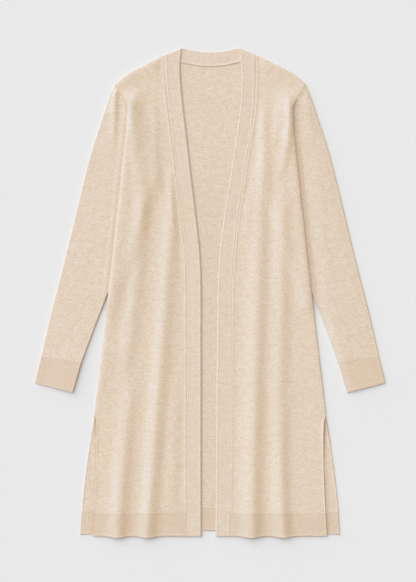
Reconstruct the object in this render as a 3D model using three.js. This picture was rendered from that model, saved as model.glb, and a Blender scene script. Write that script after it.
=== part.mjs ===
// A long open-fronted duster cardigan in fine knit, laid flat on its back with the sleeves drawn down.
// Millimetres, +Z up, the surface it lies on at z = 0, the neck towards +Y and the hem towards -Y.
// Lengths down the garment are drops, measured from the high point of the shoulder as a maker does.
// "left" and "right" are the wearer's, so the left front lies at +X.

import * as THREE from 'three';

const { clamp, lerp, smoothstep } = THREE.MathUtils;

// Cloth
const WALL = 1.5; // the jersey of the body and sleeves
const BAND_WALL = 2.2; // the firmer knit of the front band
const SEAM_GAP = 0.3; // between two pieces at a seam, or one lying on another
const SLANT_GAP = 1.2 * SEAM_GAP; // the same gap on the slant of the armhole, measured across
const LAYER = WALL + SEAM_GAP; // how much one layer lifts the next
const RIB_PITCH = 3.6;
const RIB_RELIEF = 0.35;

// Overall sizes
const HEM_DROP = 1001; // front length from the shoulder
const HEM_SAG = 3.5; // how far the hem hangs lower on the crest of a fold
const HEM_FOLD = 8.5; // height of a fold that brings that sag
const HEM_RIB = 47; // depth of the ribbed hems
const BACK_HEM_CENTRE = 989.5;
const BACK_HEM_SIDE = 998;
const SLIT_DROP = 760; // top of the side slits
const NECK_Y = (HEM_DROP + HEM_SAG) / 2; // the shoulder point's Y, with the origin in mid length

// Half widths
const SHOULDER_TIP = { x: 194.5, drop: 74 };
const UNDERARM = { x: 132, drop: 268 };
const SIDE_TOP = { x: 167.5, drop: 125 };
const SIDE_AT_SLIT = 238.5;
const SIDE_BOW = 1.3;
const BACK_HEM_HALF = 266;
const BACK_FLARE_POWER = 1.45;
const FRONT_HEM_HALF = 240;
const SLIT_BOW = 5;

// Neck and front band
const BAND_WIDTH = 30;
const BAND_SPREAD_LENGTH = 40; // the band is a little wider where it turns over the shoulder
const BAND_SEAM_AT_SHOULDER = { x: 93.3, drop: 14.6 };
const BACK_NECK_FREE_DROP = 9;
const BACK_NECK_SEAM_DROP = 38.5;
const BACK_NECK_HALF = 96.5; // where the back's neck seam meets its shoulder, under the band
const BAND_FREE_LOW = BAND_WALL + SEAM_GAP; // underside of the band along its free edge
const BAND_TURN_RADIUS = BAND_FREE_LOW / 2; // of the band's middle, where it turns over the shoulder

// Free edge of the front band, as half widths of the two fronts
const BAND_EDGE = [
  { drop: 0, right: 57.5, left: 59 },
  { drop: 31, right: 61, left: 63 },
  { drop: 62, right: 60.3, left: 64 },
  { drop: 100, right: 57.3, left: 63.3 },
  { drop: 151, right: 51.5, left: 57.8 },
  { drop: 213, right: 44.5, left: 48.4 },
  { drop: 277, right: 37.5, left: 39 },
  { drop: 349, right: 29, left: 28 },
  { drop: 427, right: 21, left: 19 },
  { drop: 506, right: 18.5, left: 15.5 },
  { drop: 600, right: 18.5, left: 14.2 },
  { drop: 1001, right: 18.5, left: 11 },
];

// Shoulder line, from the neck to the tip
const SHOULDER = [
  { x: 58, drop: 0 },
  { x: 93.3, drop: 14.6 },
  { x: 139, drop: 37 },
  { x: 171, drop: 54.5 },
  { x: 194.5, drop: 74 },
];

// Sections of a sleeve from the armhole to the cuff: its outer and inner edges, and how far the section bows
const SLEEVE = [
  { at: 0, outerX: 194.5, outerDrop: 74, innerX: 132, innerDrop: 268, bow: 13.3 },
  { at: 1, outerX: 205, outerDrop: 98, innerX: 133.5, innerDrop: 272, bow: 9.5 },
  { at: 2, outerX: 222, outerDrop: 148, innerX: 136, innerDrop: 279, bow: 4 },
  { at: 3, outerX: 238, outerDrop: 197, innerX: 140.5, innerDrop: 293, bow: 1 },
  { at: 4, outerX: 252, outerDrop: 246, innerX: 149, innerDrop: 325, bow: 0 },
  { at: 5, outerX: 276, outerDrop: 344, innerX: 171, innerDrop: 398, bow: 0 },
  { at: 6, outerX: 300, outerDrop: 443, innerX: 197, innerDrop: 472, bow: 0 },
  { at: 7, outerX: 325, outerDrop: 541, innerX: 229.5, innerDrop: 556, bow: 0 },
  { at: 8, outerX: 346, outerDrop: 632, innerX: 262.5, innerDrop: 644, bow: 0 },
];
const CUFF_END = { outerX: 359.5, outerDrop: 687, innerX: 280.5, innerDrop: 706.5 };

// Inner limit of the part of a sleeve that lies hidden between the front and the back
const HIDDEN_SLEEVE = [
  { drop: 123, x: 167.5 },
  { drop: 148, x: 157.3 },
  { drop: 187, x: 144.8 },
  { drop: 227, x: 136.4 },
  { drop: 268, x: 132 },
  { drop: 325, x: 149 },
  { drop: 398, x: 171 },
  { drop: 472, x: 197 },
  { drop: 500, x: 208.5 },
];

// Soft folds that run down the cloth, as ridges with a flank on each side. x is signed, + on the left front.
const FRONT_FOLDS = [
  {
    side: -1, bow: 4, minusFlank: 13, plusFlank: 12,
    from: { drop: 84, x: -174, height: 4.5, fade: 30 }, to: { drop: 340, x: -139, height: 3.5, fade: 80 },
  },
  {
    side: -1, bow: 5, minusFlank: 20, plusFlank: 12,
    from: { drop: 260, x: -137, height: 5, fade: 90 }, to: { drop: 720, x: -186, height: 4, fade: 110 },
  },
  {
    side: -1, bow: -3, minusFlank: 18, plusFlank: 11,
    from: { drop: 650, x: -160, height: 5, fade: 100 }, to: { drop: 1001, x: -190, height: 8, fade: 0 },
  },
  {
    side: -1, bow: 0, minusFlank: 20, plusFlank: 12,
    from: { drop: 230, x: -78, height: 5.5, fade: 90 }, to: { drop: 1001, x: -127, height: 8.5, fade: 0 },
  },
  {
    side: -1, bow: 0, minusFlank: 14, plusFlank: 9,
    from: { drop: 620, x: -59, height: 2, fade: 90 }, to: { drop: 960, x: -78, height: 2, fade: 90 },
  },
  {
    side: -1, bow: 0, minusFlank: 14, plusFlank: 9,
    from: { drop: 160, x: -116, height: 2.6, fade: 60 }, to: { drop: 320, x: -105, height: 2.2, fade: 70 },
  },
  {
    side: 1, bow: 10, minusFlank: 18, plusFlank: 12,
    from: { drop: 84, x: 160, height: 5, fade: 30 }, to: { drop: 300, x: 133, height: 3.5, fade: 80 },
  },
  {
    side: 1, bow: -4, minusFlank: 20, plusFlank: 12,
    from: { drop: 90, x: 115, height: 4, fade: 80 }, to: { drop: 1001, x: 86, height: 8.5, fade: 0 },
  },
  {
    side: 1, bow: 1, minusFlank: 20, plusFlank: 12,
    from: { drop: 260, x: 149, height: 5, fade: 90 }, to: { drop: 790, x: 140, height: 5, fade: 120 },
  },
  {
    side: 1, bow: 0, minusFlank: 19, plusFlank: 11,
    from: { drop: 690, x: 148, height: 5, fade: 100 }, to: { drop: 1001, x: 150, height: 8.5, fade: 0 },
  },
];
const SLEEVE_FOLDS = [
  {
    side: -1, bow: 0, minusFlank: 13, plusFlank: 8,
    from: { drop: 84, x: -195, height: 3.4, fade: 25 }, to: { drop: 250, x: -205, height: 2.4, fade: 90 },
  },
  {
    side: 1, bow: 0, minusFlank: 12, plusFlank: 9,
    from: { drop: 90, x: 199, height: 2.2, fade: 25 }, to: { drop: 240, x: 203, height: 1.6, fade: 90 },
  },
];

// How the cloth stands off the layer below
const EDGE_ROLL = { radius: 9, height: 2.4 }; // rounded sides of the fronts
const EDGE_ROLL_ENDS = { from: SLIT_DROP - 90, to: SLIT_DROP };
const SHOULDER_ROLL = { radius: 9, height: 1.4 };
const BAND_SETTLES = { from: 45, to: 90 }; // drops over which the band comes down off its own back part
const FOLD_CLEAR_OF_BAND = { from: 2, to: 20 }; // the folds die out towards the band
const HIDDEN_LIFT = 2 * WALL + 2 * SEAM_GAP; // a flat sleeve and its clearance
const HIDDEN_LIFT_RAMP = { from: 10, to: 40 };
const ARMHOLE_RISE = { from: 74, to: 116 };
const HIDDEN_END = { from: 510, to: 570 };
const SLEEVE_STEP = { from: 8, to: 22 }; // a sleeve comes down from the back panel onto the surface
const SLEEVE_FLAT = 2 * WALL + SEAM_GAP;
const SLEEVE_LOFT = { height: 3.2, besideFront: 30, belowShoulder: 50 };
const CUFF_LOFT = { height: 1.4, from: 600, to: 650 };
const TUBE_SQUARENESS = 4; // power of the superellipse that closes a tube's edges

// Facets
const FRONT_COLUMNS = 24;
const FRONT_SIDE_ROWS = 16;
const BACK_SIDE_ROWS = 12;
const NECK_HALF_COLUMNS = 5;
const SHOULDER_COLUMNS = 6;
const SLEEVE_STEPS = 17;
const TUBE_HALF = 12; // points across one face of a sleeve
const ARMHOLE_ROWS = 4; // of those, the ones on the armhole seam that shows
const TURN_STEPS = 4;
const SLOPE_DIES_OUT = 240; // below the shoulder tip, where the rows of a panel are level
const BAND_SLOPE_DIES_OUT = 140;
const SLOPE_EASE = 1.5;
const COLUMN_EASE = 0.35; // columns of a front crowd a little towards its side

const COLOURS = { jersey: 0xe2cfb6, rib: 0xdecab0, band: 0xe1cfb7 };

// A smooth curve through the rows of a table, from one named column to another.
function curveThrough(rows, input, output) {
  const last = rows.length - 1;
  const slopeAt = (i) => {
    const before = rows[Math.max(i - 1, 0)];
    const after = rows[Math.min(i + 1, last)];
    return (after[output] - before[output]) / (after[input] - before[input]);
  };
  return (at) => {
    let i = 0;
    while (i < last - 1 && at > rows[i + 1][input]) i += 1;
    const span = rows[i + 1][input] - rows[i][input];
    const t = clamp((at - rows[i][input]) / span, 0, 1);
    const t2 = t * t;
    const t3 = t2 * t;
    return (2 * t3 - 3 * t2 + 1) * rows[i][output] + (t3 - 2 * t2 + t) * span * slopeAt(i)
      + (3 * t2 - 2 * t3) * rows[i + 1][output] + (t3 - t2) * span * slopeAt(i + 1);
  };
}

const bandEdge = {
  left: curveThrough(BAND_EDGE, 'drop', 'left'),
  right: curveThrough(BAND_EDGE, 'drop', 'right'),
};
const shoulderLine = curveThrough(SHOULDER, 'x', 'drop');
const hiddenSleeve = curveThrough(HIDDEN_SLEEVE, 'drop', 'x');
const sleeveColumn = {
  outerX: curveThrough(SLEEVE, 'at', 'outerX'),
  outerDrop: curveThrough(SLEEVE, 'at', 'outerDrop'),
  innerX: curveThrough(SLEEVE, 'at', 'innerX'),
  innerDrop: curveThrough(SLEEVE, 'at', 'innerDrop'),
  bow: curveThrough(SLEEVE, 'at', 'bow'),
};

const arch = (t) => 4 * t * (1 - t); // 0 at both ends, 1 in the middle
const sideName = (side) => (side > 0 ? 'left' : 'right');
const place = (x, drop, z) => new THREE.Vector3(x, NECK_Y - drop, z);

// Half width of the seam between a front and its band.
function bandSeam(side, drop) {
  const nearShoulder = Math.exp((BAND_SEAM_AT_SHOULDER.drop - drop) / BAND_SPREAD_LENGTH);
  const below = bandEdge[sideName(side)](drop) + BAND_WIDTH;
  return lerp(below, BAND_SEAM_AT_SHOULDER.x, Math.min(nearShoulder, 1));
}

// Half width of the body down the side seam, from the armhole to the slit.
function sideSeam(drop) {
  const t = (drop - SIDE_TOP.drop) / (SLIT_DROP - SIDE_TOP.drop);
  return lerp(SIDE_TOP.x, SIDE_AT_SLIT, t) - SIDE_BOW * arch(t);
}

function frontSide(drop) {
  if (drop <= SLIT_DROP) return sideSeam(drop);
  const t = (drop - SLIT_DROP) / (HEM_DROP - SLIT_DROP);
  return lerp(SIDE_AT_SLIT, FRONT_HEM_HALF, t) - SLIT_BOW * arch(t);
}

function backSide(drop) {
  if (drop <= SLIT_DROP) return sideSeam(drop);
  const t = (drop - SLIT_DROP) / (BACK_HEM_SIDE - SLIT_DROP);
  return lerp(SIDE_AT_SLIT, BACK_HEM_HALF, 1 - (1 - Math.min(t, 1)) ** BACK_FLARE_POWER);
}

function backNeckSeam(x) {
  const t = x / BACK_NECK_HALF;
  return lerp(BACK_NECK_SEAM_DROP, shoulderLine(BACK_NECK_HALF), t * t);
}

function backHem(x) {
  const t = x / BACK_HEM_HALF;
  return lerp(BACK_HEM_CENTRE, BACK_HEM_SIDE, t * t);
}

// A point of a sleeve's section in plan: across runs from its inner edge, 0, to its outer edge, 1.
function sleevePlan(at, across) {
  const outer = new THREE.Vector2(sleeveColumn.outerX(at), sleeveColumn.outerDrop(at));
  const inner = new THREE.Vector2(sleeveColumn.innerX(at), sleeveColumn.innerDrop(at));
  const along = outer.clone().sub(inner).normalize();
  const bow = new THREE.Vector2(along.y, -along.x).multiplyScalar(sleeveColumn.bow(at) * arch(across));
  return inner.lerp(outer, across).add(bow);
}

const tubeStation = (i, count) => (1 - Math.cos((Math.PI * i) / count)) / 2;

// Points of the armhole seam that shows, from the shoulder tip down, each a seam gap inside the sleeve.
const ARMHOLE_EDGE = Array.from({ length: ARMHOLE_ROWS + 1 }, (_, i) => {
  const point = sleevePlan(0, tubeStation(TUBE_HALF - i, TUBE_HALF));
  return { x: point.x - SLANT_GAP, drop: point.y };
});

// Points down the side of a panel: the armhole seam that shows, then the side and the slit's edge.
function panelSide(sideAt, rows, bottom) {
  const top = ARMHOLE_EDGE[ARMHOLE_ROWS].drop;
  const below = Array.from({ length: rows }, (_, j) => {
    const drop = lerp(top, bottom, (j + 1) / rows);
    return { x: sideAt(drop), drop };
  });
  return [...ARMHOLE_EDGE, ...below];
}

// Height of a fold's ridge at a point.
function foldHeight({ from, to, bow, minusFlank, plusFlank }, x, drop) {
  const t = clamp((drop - from.drop) / (to.drop - from.drop), 0, 1);
  const offset = x - lerp(from.x, to.x, t) - bow * arch(t);
  const flank = offset < 0 ? minusFlank : plusFlank;
  const rise = smoothstep(drop, from.drop, from.drop + from.fade);
  const fall = to.fade ? 1 - smoothstep(drop, to.drop - to.fade, to.drop) : 1;
  return lerp(from.height, to.height, t) * rise * fall * Math.exp(-((offset / flank) ** 2));
}

function foldsAt(folds, side, x, drop) {
  return folds.filter((fold) => fold.side === side).reduce((sum, fold) => sum + foldHeight(fold, x, drop), 0);
}

// Height of a front's base over the back panel, a little more over the back's ribbed hem.
function restHeight(drop) {
  const hemTop = HEM_DROP - HEM_RIB;
  return LAYER + RIB_RELIEF * smoothstep(drop, hemTop - 2 * HEM_RIB, hemTop - HEM_RIB);
}

// A rounded shoulder of cloth beside an edge: nothing at the edge, highest one radius in.
const rollAt = (roll, inset) => roll.height * (inset / roll.radius) * Math.exp(1 - inset / roll.radius);

// Underside of a front: on the back panel, over the hidden sleeve, and up in its folds.
function frontLow(side, x, drop) {
  const half = Math.abs(x);
  const inset = Math.max(frontSide(drop) - half, 0);
  const hiddenWidth = Math.max(sideSeam(drop) - hiddenSleeve(drop), 0);
  const overSleeve = smoothstep(drop, ARMHOLE_RISE.from, ARMHOLE_RISE.to)
    * (1 - smoothstep(drop, HIDDEN_END.from, HIDDEN_END.to))
    * (1 - smoothstep(inset, hiddenWidth + HIDDEN_LIFT_RAMP.from, hiddenWidth + HIDDEN_LIFT_RAMP.to));
  const besideBand = smoothstep(half - bandSeam(side, drop), FOLD_CLEAR_OF_BAND.from, FOLD_CLEAR_OF_BAND.to);
  const sideRoll = smoothstep(drop, SHOULDER_TIP.drop, SIDE_TOP.drop)
    * (1 - smoothstep(drop, EDGE_ROLL_ENDS.from, EDGE_ROLL_ENDS.to)) * rollAt(EDGE_ROLL, inset);
  const shoulderInset = Math.max(drop - shoulderLine(Math.min(half, SHOULDER_TIP.x)), 0);
  const raised = sideRoll + rollAt(SHOULDER_ROLL, shoulderInset) + foldsAt(FRONT_FOLDS, side, x, drop);
  return restHeight(drop) + HIDDEN_LIFT * overSleeve + raised * besideBand;
}

// The two triangles of a quad, split along whichever diagonal lies more level, so that ridges stay clean.
function split(points, [a, b, c, d]) {
  const level = Math.abs(points[a].z - points[c].z) <= Math.abs(points[b].z - points[d].z);
  return level ? [a, b, c, a, c, d] : [a, b, d, b, c, d];
}

// A closed solid from points and quads, with its faces turned outwards.
function solid(points, quads) {
  const index = quads.flatMap((quad) => split(points, quad));
  let volume = 0;
  for (let i = 0; i < index.length; i += 3) {
    const [a, b, c] = [points[index[i]], points[index[i + 1]], points[index[i + 2]]];
    volume += a.dot(b.clone().cross(c));
  }
  if (volume < 0) index.reverse();
  const geometry = new THREE.BufferGeometry();
  geometry.setAttribute('position', new THREE.Float32BufferAttribute(points.flatMap((p) => p.toArray()), 3));
  geometry.setIndex(index);
  geometry.computeVertexNormals();
  return geometry;
}

// A wall of cloth between two grids of points of the same size, closed round its four edges.
function sheetSolid(lower, upper) {
  const rows = lower.length;
  const columns = lower[0].length;
  const points = [...lower.flat(), ...upper.flat()];
  const end = columns - 1;
  const low = (j, i) => j * columns + i;
  const high = (j, i) => rows * columns + low(j, i);
  const quads = [];
  for (let j = 0; j < rows - 1; j += 1) {
    for (let i = 0; i < end; i += 1) {
      quads.push([high(j, i), high(j, i + 1), high(j + 1, i + 1), high(j + 1, i)]);
      quads.push([low(j, i), low(j + 1, i), low(j + 1, i + 1), low(j, i + 1)]);
    }
    quads.push([low(j, 0), high(j, 0), high(j + 1, 0), low(j + 1, 0)]);
    quads.push([low(j, end), low(j + 1, end), high(j + 1, end), high(j, end)]);
  }
  for (let i = 0; i < end; i += 1) {
    quads.push([low(0, i), low(0, i + 1), high(0, i + 1), high(0, i)]);
    quads.push([low(rows - 1, i), high(rows - 1, i), high(rows - 1, i + 1), low(rows - 1, i + 1)]);
  }
  return solid(points, quads);
}

// A tube of cloth between outer and inner rings of the same size, open at both ends.
function tubeSolid(outer, inner) {
  const rings = outer.length;
  const count = outer[0].length;
  const points = [...outer.flat(), ...inner.flat()];
  const out = (j, k) => j * count + (k % count);
  const within = (j, k) => rings * count + out(j, k);
  const quads = [];
  for (let k = 0; k < count; k += 1) {
    for (let j = 0; j < rings - 1; j += 1) {
      quads.push([out(j, k), out(j, k + 1), out(j + 1, k + 1), out(j + 1, k)]);
      quads.push([within(j, k), within(j + 1, k), within(j + 1, k + 1), within(j, k + 1)]);
    }
    quads.push([out(0, k), within(0, k), within(0, k + 1), out(0, k + 1)]);
    quads.push([out(rings - 1, k), out(rings - 1, k + 1), within(rings - 1, k + 1), within(rings - 1, k)]);
  }
  return solid(points, quads);
}

function piece(name, geometry, colour) {
  const material = new THREE.MeshStandardMaterial({ color: colour, roughness: 0.95, metalness: 0 });
  const mesh = new THREE.Mesh(geometry, material);
  mesh.name = name;
  return mesh;
}

// Rows of a front from the shoulder to the ribbed hem: where each meets the band and where it meets the side.
const FRONT_ROWS = panelSide(frontSide, FRONT_SIDE_ROWS, HEM_DROP - HEM_RIB).map(({ x, drop }) => {
  const level = clamp(1 - (drop - SHOULDER_TIP.drop) / SLOPE_DIES_OUT, 0, 1);
  const slope = (SHOULDER_TIP.drop - BAND_SEAM_AT_SHOULDER.drop) * level ** SLOPE_EASE;
  return { outerX: x, outerDrop: drop, innerDrop: drop - slope };
});

// How far the shoulder line falls below the straight line from the band to the tip.
function shoulderBow(across) {
  const x = lerp(BAND_SEAM_AT_SHOULDER.x, SHOULDER_TIP.x, across);
  return shoulderLine(x) - lerp(BAND_SEAM_AT_SHOULDER.drop, SHOULDER_TIP.drop, across);
}

function front(side) {
  const lower = FRONT_ROWS.map(({ outerX, outerDrop, innerDrop }, j) => {
    const innerX = bandSeam(side, innerDrop) + SEAM_GAP;
    return Array.from({ length: FRONT_COLUMNS + 1 }, (_, i) => {
      const even = i / FRONT_COLUMNS;
      const across = lerp(even, Math.sin((Math.PI / 2) * even), COLUMN_EASE);
      const x = lerp(innerX, outerX, across);
      const bow = shoulderBow(across) * Math.max(1 - j / ARMHOLE_ROWS, 0);
      const drop = lerp(innerDrop, outerDrop, across) + bow;
      return place(side * x, drop, frontLow(side, side * x, drop));
    });
  });
  const upper = lower.map((row) => row.map((point) => point.clone().setZ(point.z + WALL)));
  return piece(`front_${sideName(side)}`, sheetSolid(lower, upper), COLOURS.jersey);
}

// A ribbed strip between two drops: rib tops on every other column, with a plain underside.
function ribbedStrip(name, columns, pointAt) {
  const grid = (ribbed) => [0, 1].map((down) => Array.from({ length: columns + 1 }, (_, i) => {
    const point = pointAt(i / columns, down);
    const rib = i % 2 ? RIB_RELIEF : 0;
    return ribbed ? point.setZ(point.z + WALL + rib) : point;
  }));
  return piece(name, sheetSolid(grid(false), grid(true)), COLOURS.rib);
}

function frontHem(side) {
  const top = HEM_DROP - HEM_RIB + SEAM_GAP;
  const columns = 2 * Math.round((FRONT_HEM_HALF - bandSeam(side, HEM_DROP)) / RIB_PITCH);
  return ribbedStrip(`hem_front_${sideName(side)}`, columns, (across, down) => {
    const level = lerp(top, HEM_DROP, down);
    const x = side * lerp(bandSeam(side, level) + SEAM_GAP, frontSide(level), across);
    const crest = Math.min(foldsAt(FRONT_FOLDS, side, x, HEM_DROP) / HEM_FOLD, 1);
    return place(x, level + down * HEM_SAG * crest, frontLow(side, x, level));
  });
}

function backHemBand() {
  const columns = 2 * Math.round((2 * BACK_HEM_HALF) / RIB_PITCH);
  return ribbedStrip('hem_back', columns, (across, down) => {
    const half = across * 2 - 1;
    const rough = half * BACK_HEM_HALF;
    const drop = backHem(rough) - (HEM_RIB - SEAM_GAP) * (1 - down);
    return place(half * backSide(drop), drop, 0);
  });
}

// The back's columns, as shares of its half width, with one at each end of the neck seam.
function backColumns() {
  const neck = Array.from({ length: NECK_HALF_COLUMNS + 1 }, (_, i) => (
    (BAND_SEAM_AT_SHOULDER.x / SHOULDER_TIP.x) * (i / NECK_HALF_COLUMNS)
  ));
  const shoulder = Array.from({ length: SHOULDER_COLUMNS + 1 }, (_, i) => (
    lerp(BACK_NECK_HALF / SHOULDER_TIP.x, 1, i / SHOULDER_COLUMNS)
  ));
  const half = [...neck, ...shoulder];
  return [...half.slice(1).reverse().map((share) => -share), ...half];
}

function back() {
  const bottom = BACK_HEM_SIDE - HEM_RIB;
  const lower = panelSide(backSide, BACK_SIDE_ROWS, bottom).map(({ x: edgeX, drop: edgeDrop }) => {
    const down = (edgeDrop - SHOULDER_TIP.drop) / (bottom - SHOULDER_TIP.drop);
    return backColumns().map((share) => {
      const x = Math.abs(share) * SHOULDER_TIP.x;
      const topDrop = x < BACK_NECK_HALF ? backNeckSeam(x) + SEAM_GAP : shoulderLine(x);
      const hemDrop = bottom - (BACK_HEM_SIDE - BACK_HEM_CENTRE) * (1 - share * share);
      return place(share * edgeX, lerp(topDrop, hemDrop, down), 0);
    });
  });
  const upper = lower.map((row) => row.map((point) => point.clone().setZ(WALL)));
  return piece('back', sheetSolid(lower, upper), COLOURS.jersey);
}

// Sections of the front band, each with its free edge, its seam and the way its face looks.
const UP = new THREE.Vector3(0, 0, 1);

function bandDownFront(side) {
  return FRONT_ROWS.slice(1).map((row) => row.innerDrop).concat(HEM_DROP).map((drop) => {
    const level = clamp(1 - (drop - BAND_SEAM_AT_SHOULDER.drop) / BAND_SLOPE_DIES_OUT, 0, 1);
    const freeDrop = drop - BAND_SEAM_AT_SHOULDER.drop * level ** SLOPE_EASE;
    const low = lerp(BAND_FREE_LOW, restHeight(drop), smoothstep(drop, BAND_SETTLES.from, BAND_SETTLES.to));
    return {
      free: place(side * bandEdge[sideName(side)](freeDrop), freeDrop, BAND_FREE_LOW + BAND_WALL / 2),
      seam: place(side * bandSeam(side, drop), drop, low + BAND_WALL / 2),
      normal: UP,
    };
  });
}

// The turn over the shoulder, from the front's layer to the back's, inside the shoulder line.
function bandOverShoulder(side) {
  const slope = BAND_SEAM_AT_SHOULDER.drop / (BAND_SEAM_AT_SHOULDER.x - bandEdge.left(0));
  const outward = new THREE.Vector3(0, Math.hypot(1, slope), 0);
  const middle = BAND_TURN_RADIUS + BAND_WALL / 2;
  const freeDrop = middle * outward.y;
  const seamDrop = BAND_SEAM_AT_SHOULDER.drop + freeDrop;
  return Array.from({ length: TURN_STEPS + 1 }, (_, i) => {
    const angle = (Math.PI * i) / TURN_STEPS;
    const normal = outward.clone().multiplyScalar(Math.sin(angle)).addScaledVector(UP, Math.cos(angle));
    const turned = (x, drop) => place(side * x, drop, middle).addScaledVector(normal, BAND_TURN_RADIUS);
    const free = turned(bandEdge[sideName(side)](0), freeDrop);
    const seam = turned(bandSeam(side, seamDrop), seamDrop);
    return { free, seam, normal };
  });
}

function bandRoundNeck() {
  return Array.from({ length: 2 * NECK_HALF_COLUMNS - 1 }, (_, i) => {
    const share = (i + 1) / NECK_HALF_COLUMNS - 1;
    const freeX = share * bandEdge[sideName(share)](0);
    const seamX = share * BAND_SEAM_AT_SHOULDER.x;
    return {
      free: place(freeX, BACK_NECK_FREE_DROP * (1 - share * share), BAND_WALL / 2),
      seam: place(seamX, backNeckSeam(seamX), BAND_WALL / 2),
      normal: UP.clone().negate(),
    };
  });
}

// The front band: up one front edge, over the shoulder, round the back of the neck and down the other front.
function frontBand() {
  const sections = [
    ...bandDownFront(-1).reverse(), ...bandOverShoulder(-1),
    ...bandRoundNeck(),
    ...bandOverShoulder(1).reverse(), ...bandDownFront(1),
  ];
  const face = (lift) => sections.map(({ free, seam, normal }) => (
    [free, seam].map((point) => point.clone().addScaledVector(normal, lift))
  ));
  return piece('front_band', sheetSolid(face(-BAND_WALL / 2), face(BAND_WALL / 2)), COLOURS.band);
}

// One ring round a flattened tube, inset into its wall. planAt gives a point across it.
function tubeRing(side, half, planAt, inset, relief) {
  const narrowing = inset / planAt(0).distanceTo(planAt(1));
  return Array.from({ length: 2 * half }, (_, k) => {
    const onTop = k <= half;
    const station = tubeStation(onTop ? k : 2 * half - k, half);
    const { x, y: drop } = planAt(lerp(narrowing, 1 - narrowing, station));
    const middle = sleeveLoft(side, x, drop) / 2;
    const closing = (1 - Math.abs(2 * station - 1) ** TUBE_SQUARENESS) ** (1 / TUBE_SQUARENESS);
    const reach = (middle - inset + (k % 2 ? relief : 0)) * closing;
    return place(side * x, drop, sleeveLow(x, drop) + middle + (onTop ? reach : -reach));
  });
}

// Underside of a sleeve: over the back panel where that hides it, and on the surface beyond.
function sleeveLow(x, drop) {
  const overBack = 1 - smoothstep(x - sideSeam(drop), SLEEVE_STEP.from, SLEEVE_STEP.to);
  return LAYER * overBack * smoothstep(drop, ARMHOLE_RISE.from, ARMHOLE_RISE.to);
}

function sleeveLoft(side, x, drop) {
  const clearOfFront = smoothstep(x - sideSeam(drop), 0, SLEEVE_LOFT.besideFront);
  const clearOfShoulder = smoothstep(drop, SHOULDER_TIP.drop, SHOULDER_TIP.drop + SLEEVE_LOFT.belowShoulder);
  const loft = lerp(SLEEVE_LOFT.height, CUFF_LOFT.height, smoothstep(drop, CUFF_LOFT.from, CUFF_LOFT.to));
  const fold = foldsAt(SLEEVE_FOLDS, side, side * x, drop);
  return SLEEVE_FLAT + (loft * clearOfShoulder + fold) * clearOfFront;
}

// A flattened tube with half its points on each face. sectionAt gives a section's plan, from 0 to 1 along it.
function tube(side, half, steps, relief, sectionAt) {
  const rings = (inset, ribs) => Array.from({ length: steps + 1 }, (_, j) => (
    tubeRing(side, half, sectionAt(j / steps), inset, ribs)
  ));
  return tubeSolid(rings(0, relief), rings(WALL, 0));
}

function sleeve(side) {
  const sectionAt = (along) => (across) => sleevePlan(along * (SLEEVE.length - 1), across);
  return piece(`sleeve_${sideName(side)}`, tube(side, TUBE_HALF, SLEEVE_STEPS, 0, sectionAt), COLOURS.jersey);
}

function cuff(side) {
  const innerEnd = new THREE.Vector2(CUFF_END.innerX, CUFF_END.innerDrop);
  const outerEnd = new THREE.Vector2(CUFF_END.outerX, CUFF_END.outerDrop);
  const innerJoint = sleevePlan(SLEEVE.length - 1, 0);
  const outerJoint = sleevePlan(SLEEVE.length - 1, 1);
  const start = SEAM_GAP / innerJoint.distanceTo(innerEnd);
  const sectionAt = (along) => (across) => {
    const down = lerp(start, 1, along);
    const inner = innerJoint.clone().lerp(innerEnd, down);
    return inner.lerp(outerJoint.clone().lerp(outerEnd, down), across);
  };
  const half = 2 * Math.round(innerEnd.distanceTo(outerEnd) / RIB_PITCH);
  return piece(`cuff_${sideName(side)}`, tube(side, half, 1, RIB_RELIEF, sectionAt), COLOURS.rib);
}

const cardigan = new THREE.Group();
cardigan.add(back(), backHemBand(), frontBand());
for (const side of [1, -1]) cardigan.add(front(side), frontHem(side), sleeve(side), cuff(side));

export default cardigan;
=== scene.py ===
import functools
import math

import bpy
import numpy as np
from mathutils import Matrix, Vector, noise
from mathutils.bvhtree import BVHTree


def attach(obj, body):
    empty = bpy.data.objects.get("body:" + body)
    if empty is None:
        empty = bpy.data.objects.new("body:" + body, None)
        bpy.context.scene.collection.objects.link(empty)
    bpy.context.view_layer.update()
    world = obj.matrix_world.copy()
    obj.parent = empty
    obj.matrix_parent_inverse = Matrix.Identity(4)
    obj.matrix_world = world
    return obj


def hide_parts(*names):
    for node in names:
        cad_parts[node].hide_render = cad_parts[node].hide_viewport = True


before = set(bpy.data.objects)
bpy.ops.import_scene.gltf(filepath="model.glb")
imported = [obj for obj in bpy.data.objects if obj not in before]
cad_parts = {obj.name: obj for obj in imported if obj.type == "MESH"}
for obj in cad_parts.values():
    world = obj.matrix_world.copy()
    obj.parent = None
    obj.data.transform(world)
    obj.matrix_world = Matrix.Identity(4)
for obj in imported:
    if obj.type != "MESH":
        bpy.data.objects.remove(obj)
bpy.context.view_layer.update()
print("frame loaded")

# Sizes are in millimetres and meshes in metres. Drops run down the garment from the high point of the
# shoulder. Side +1 is the wearer's left, which lies at +X.
mm = 0.001

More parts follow.
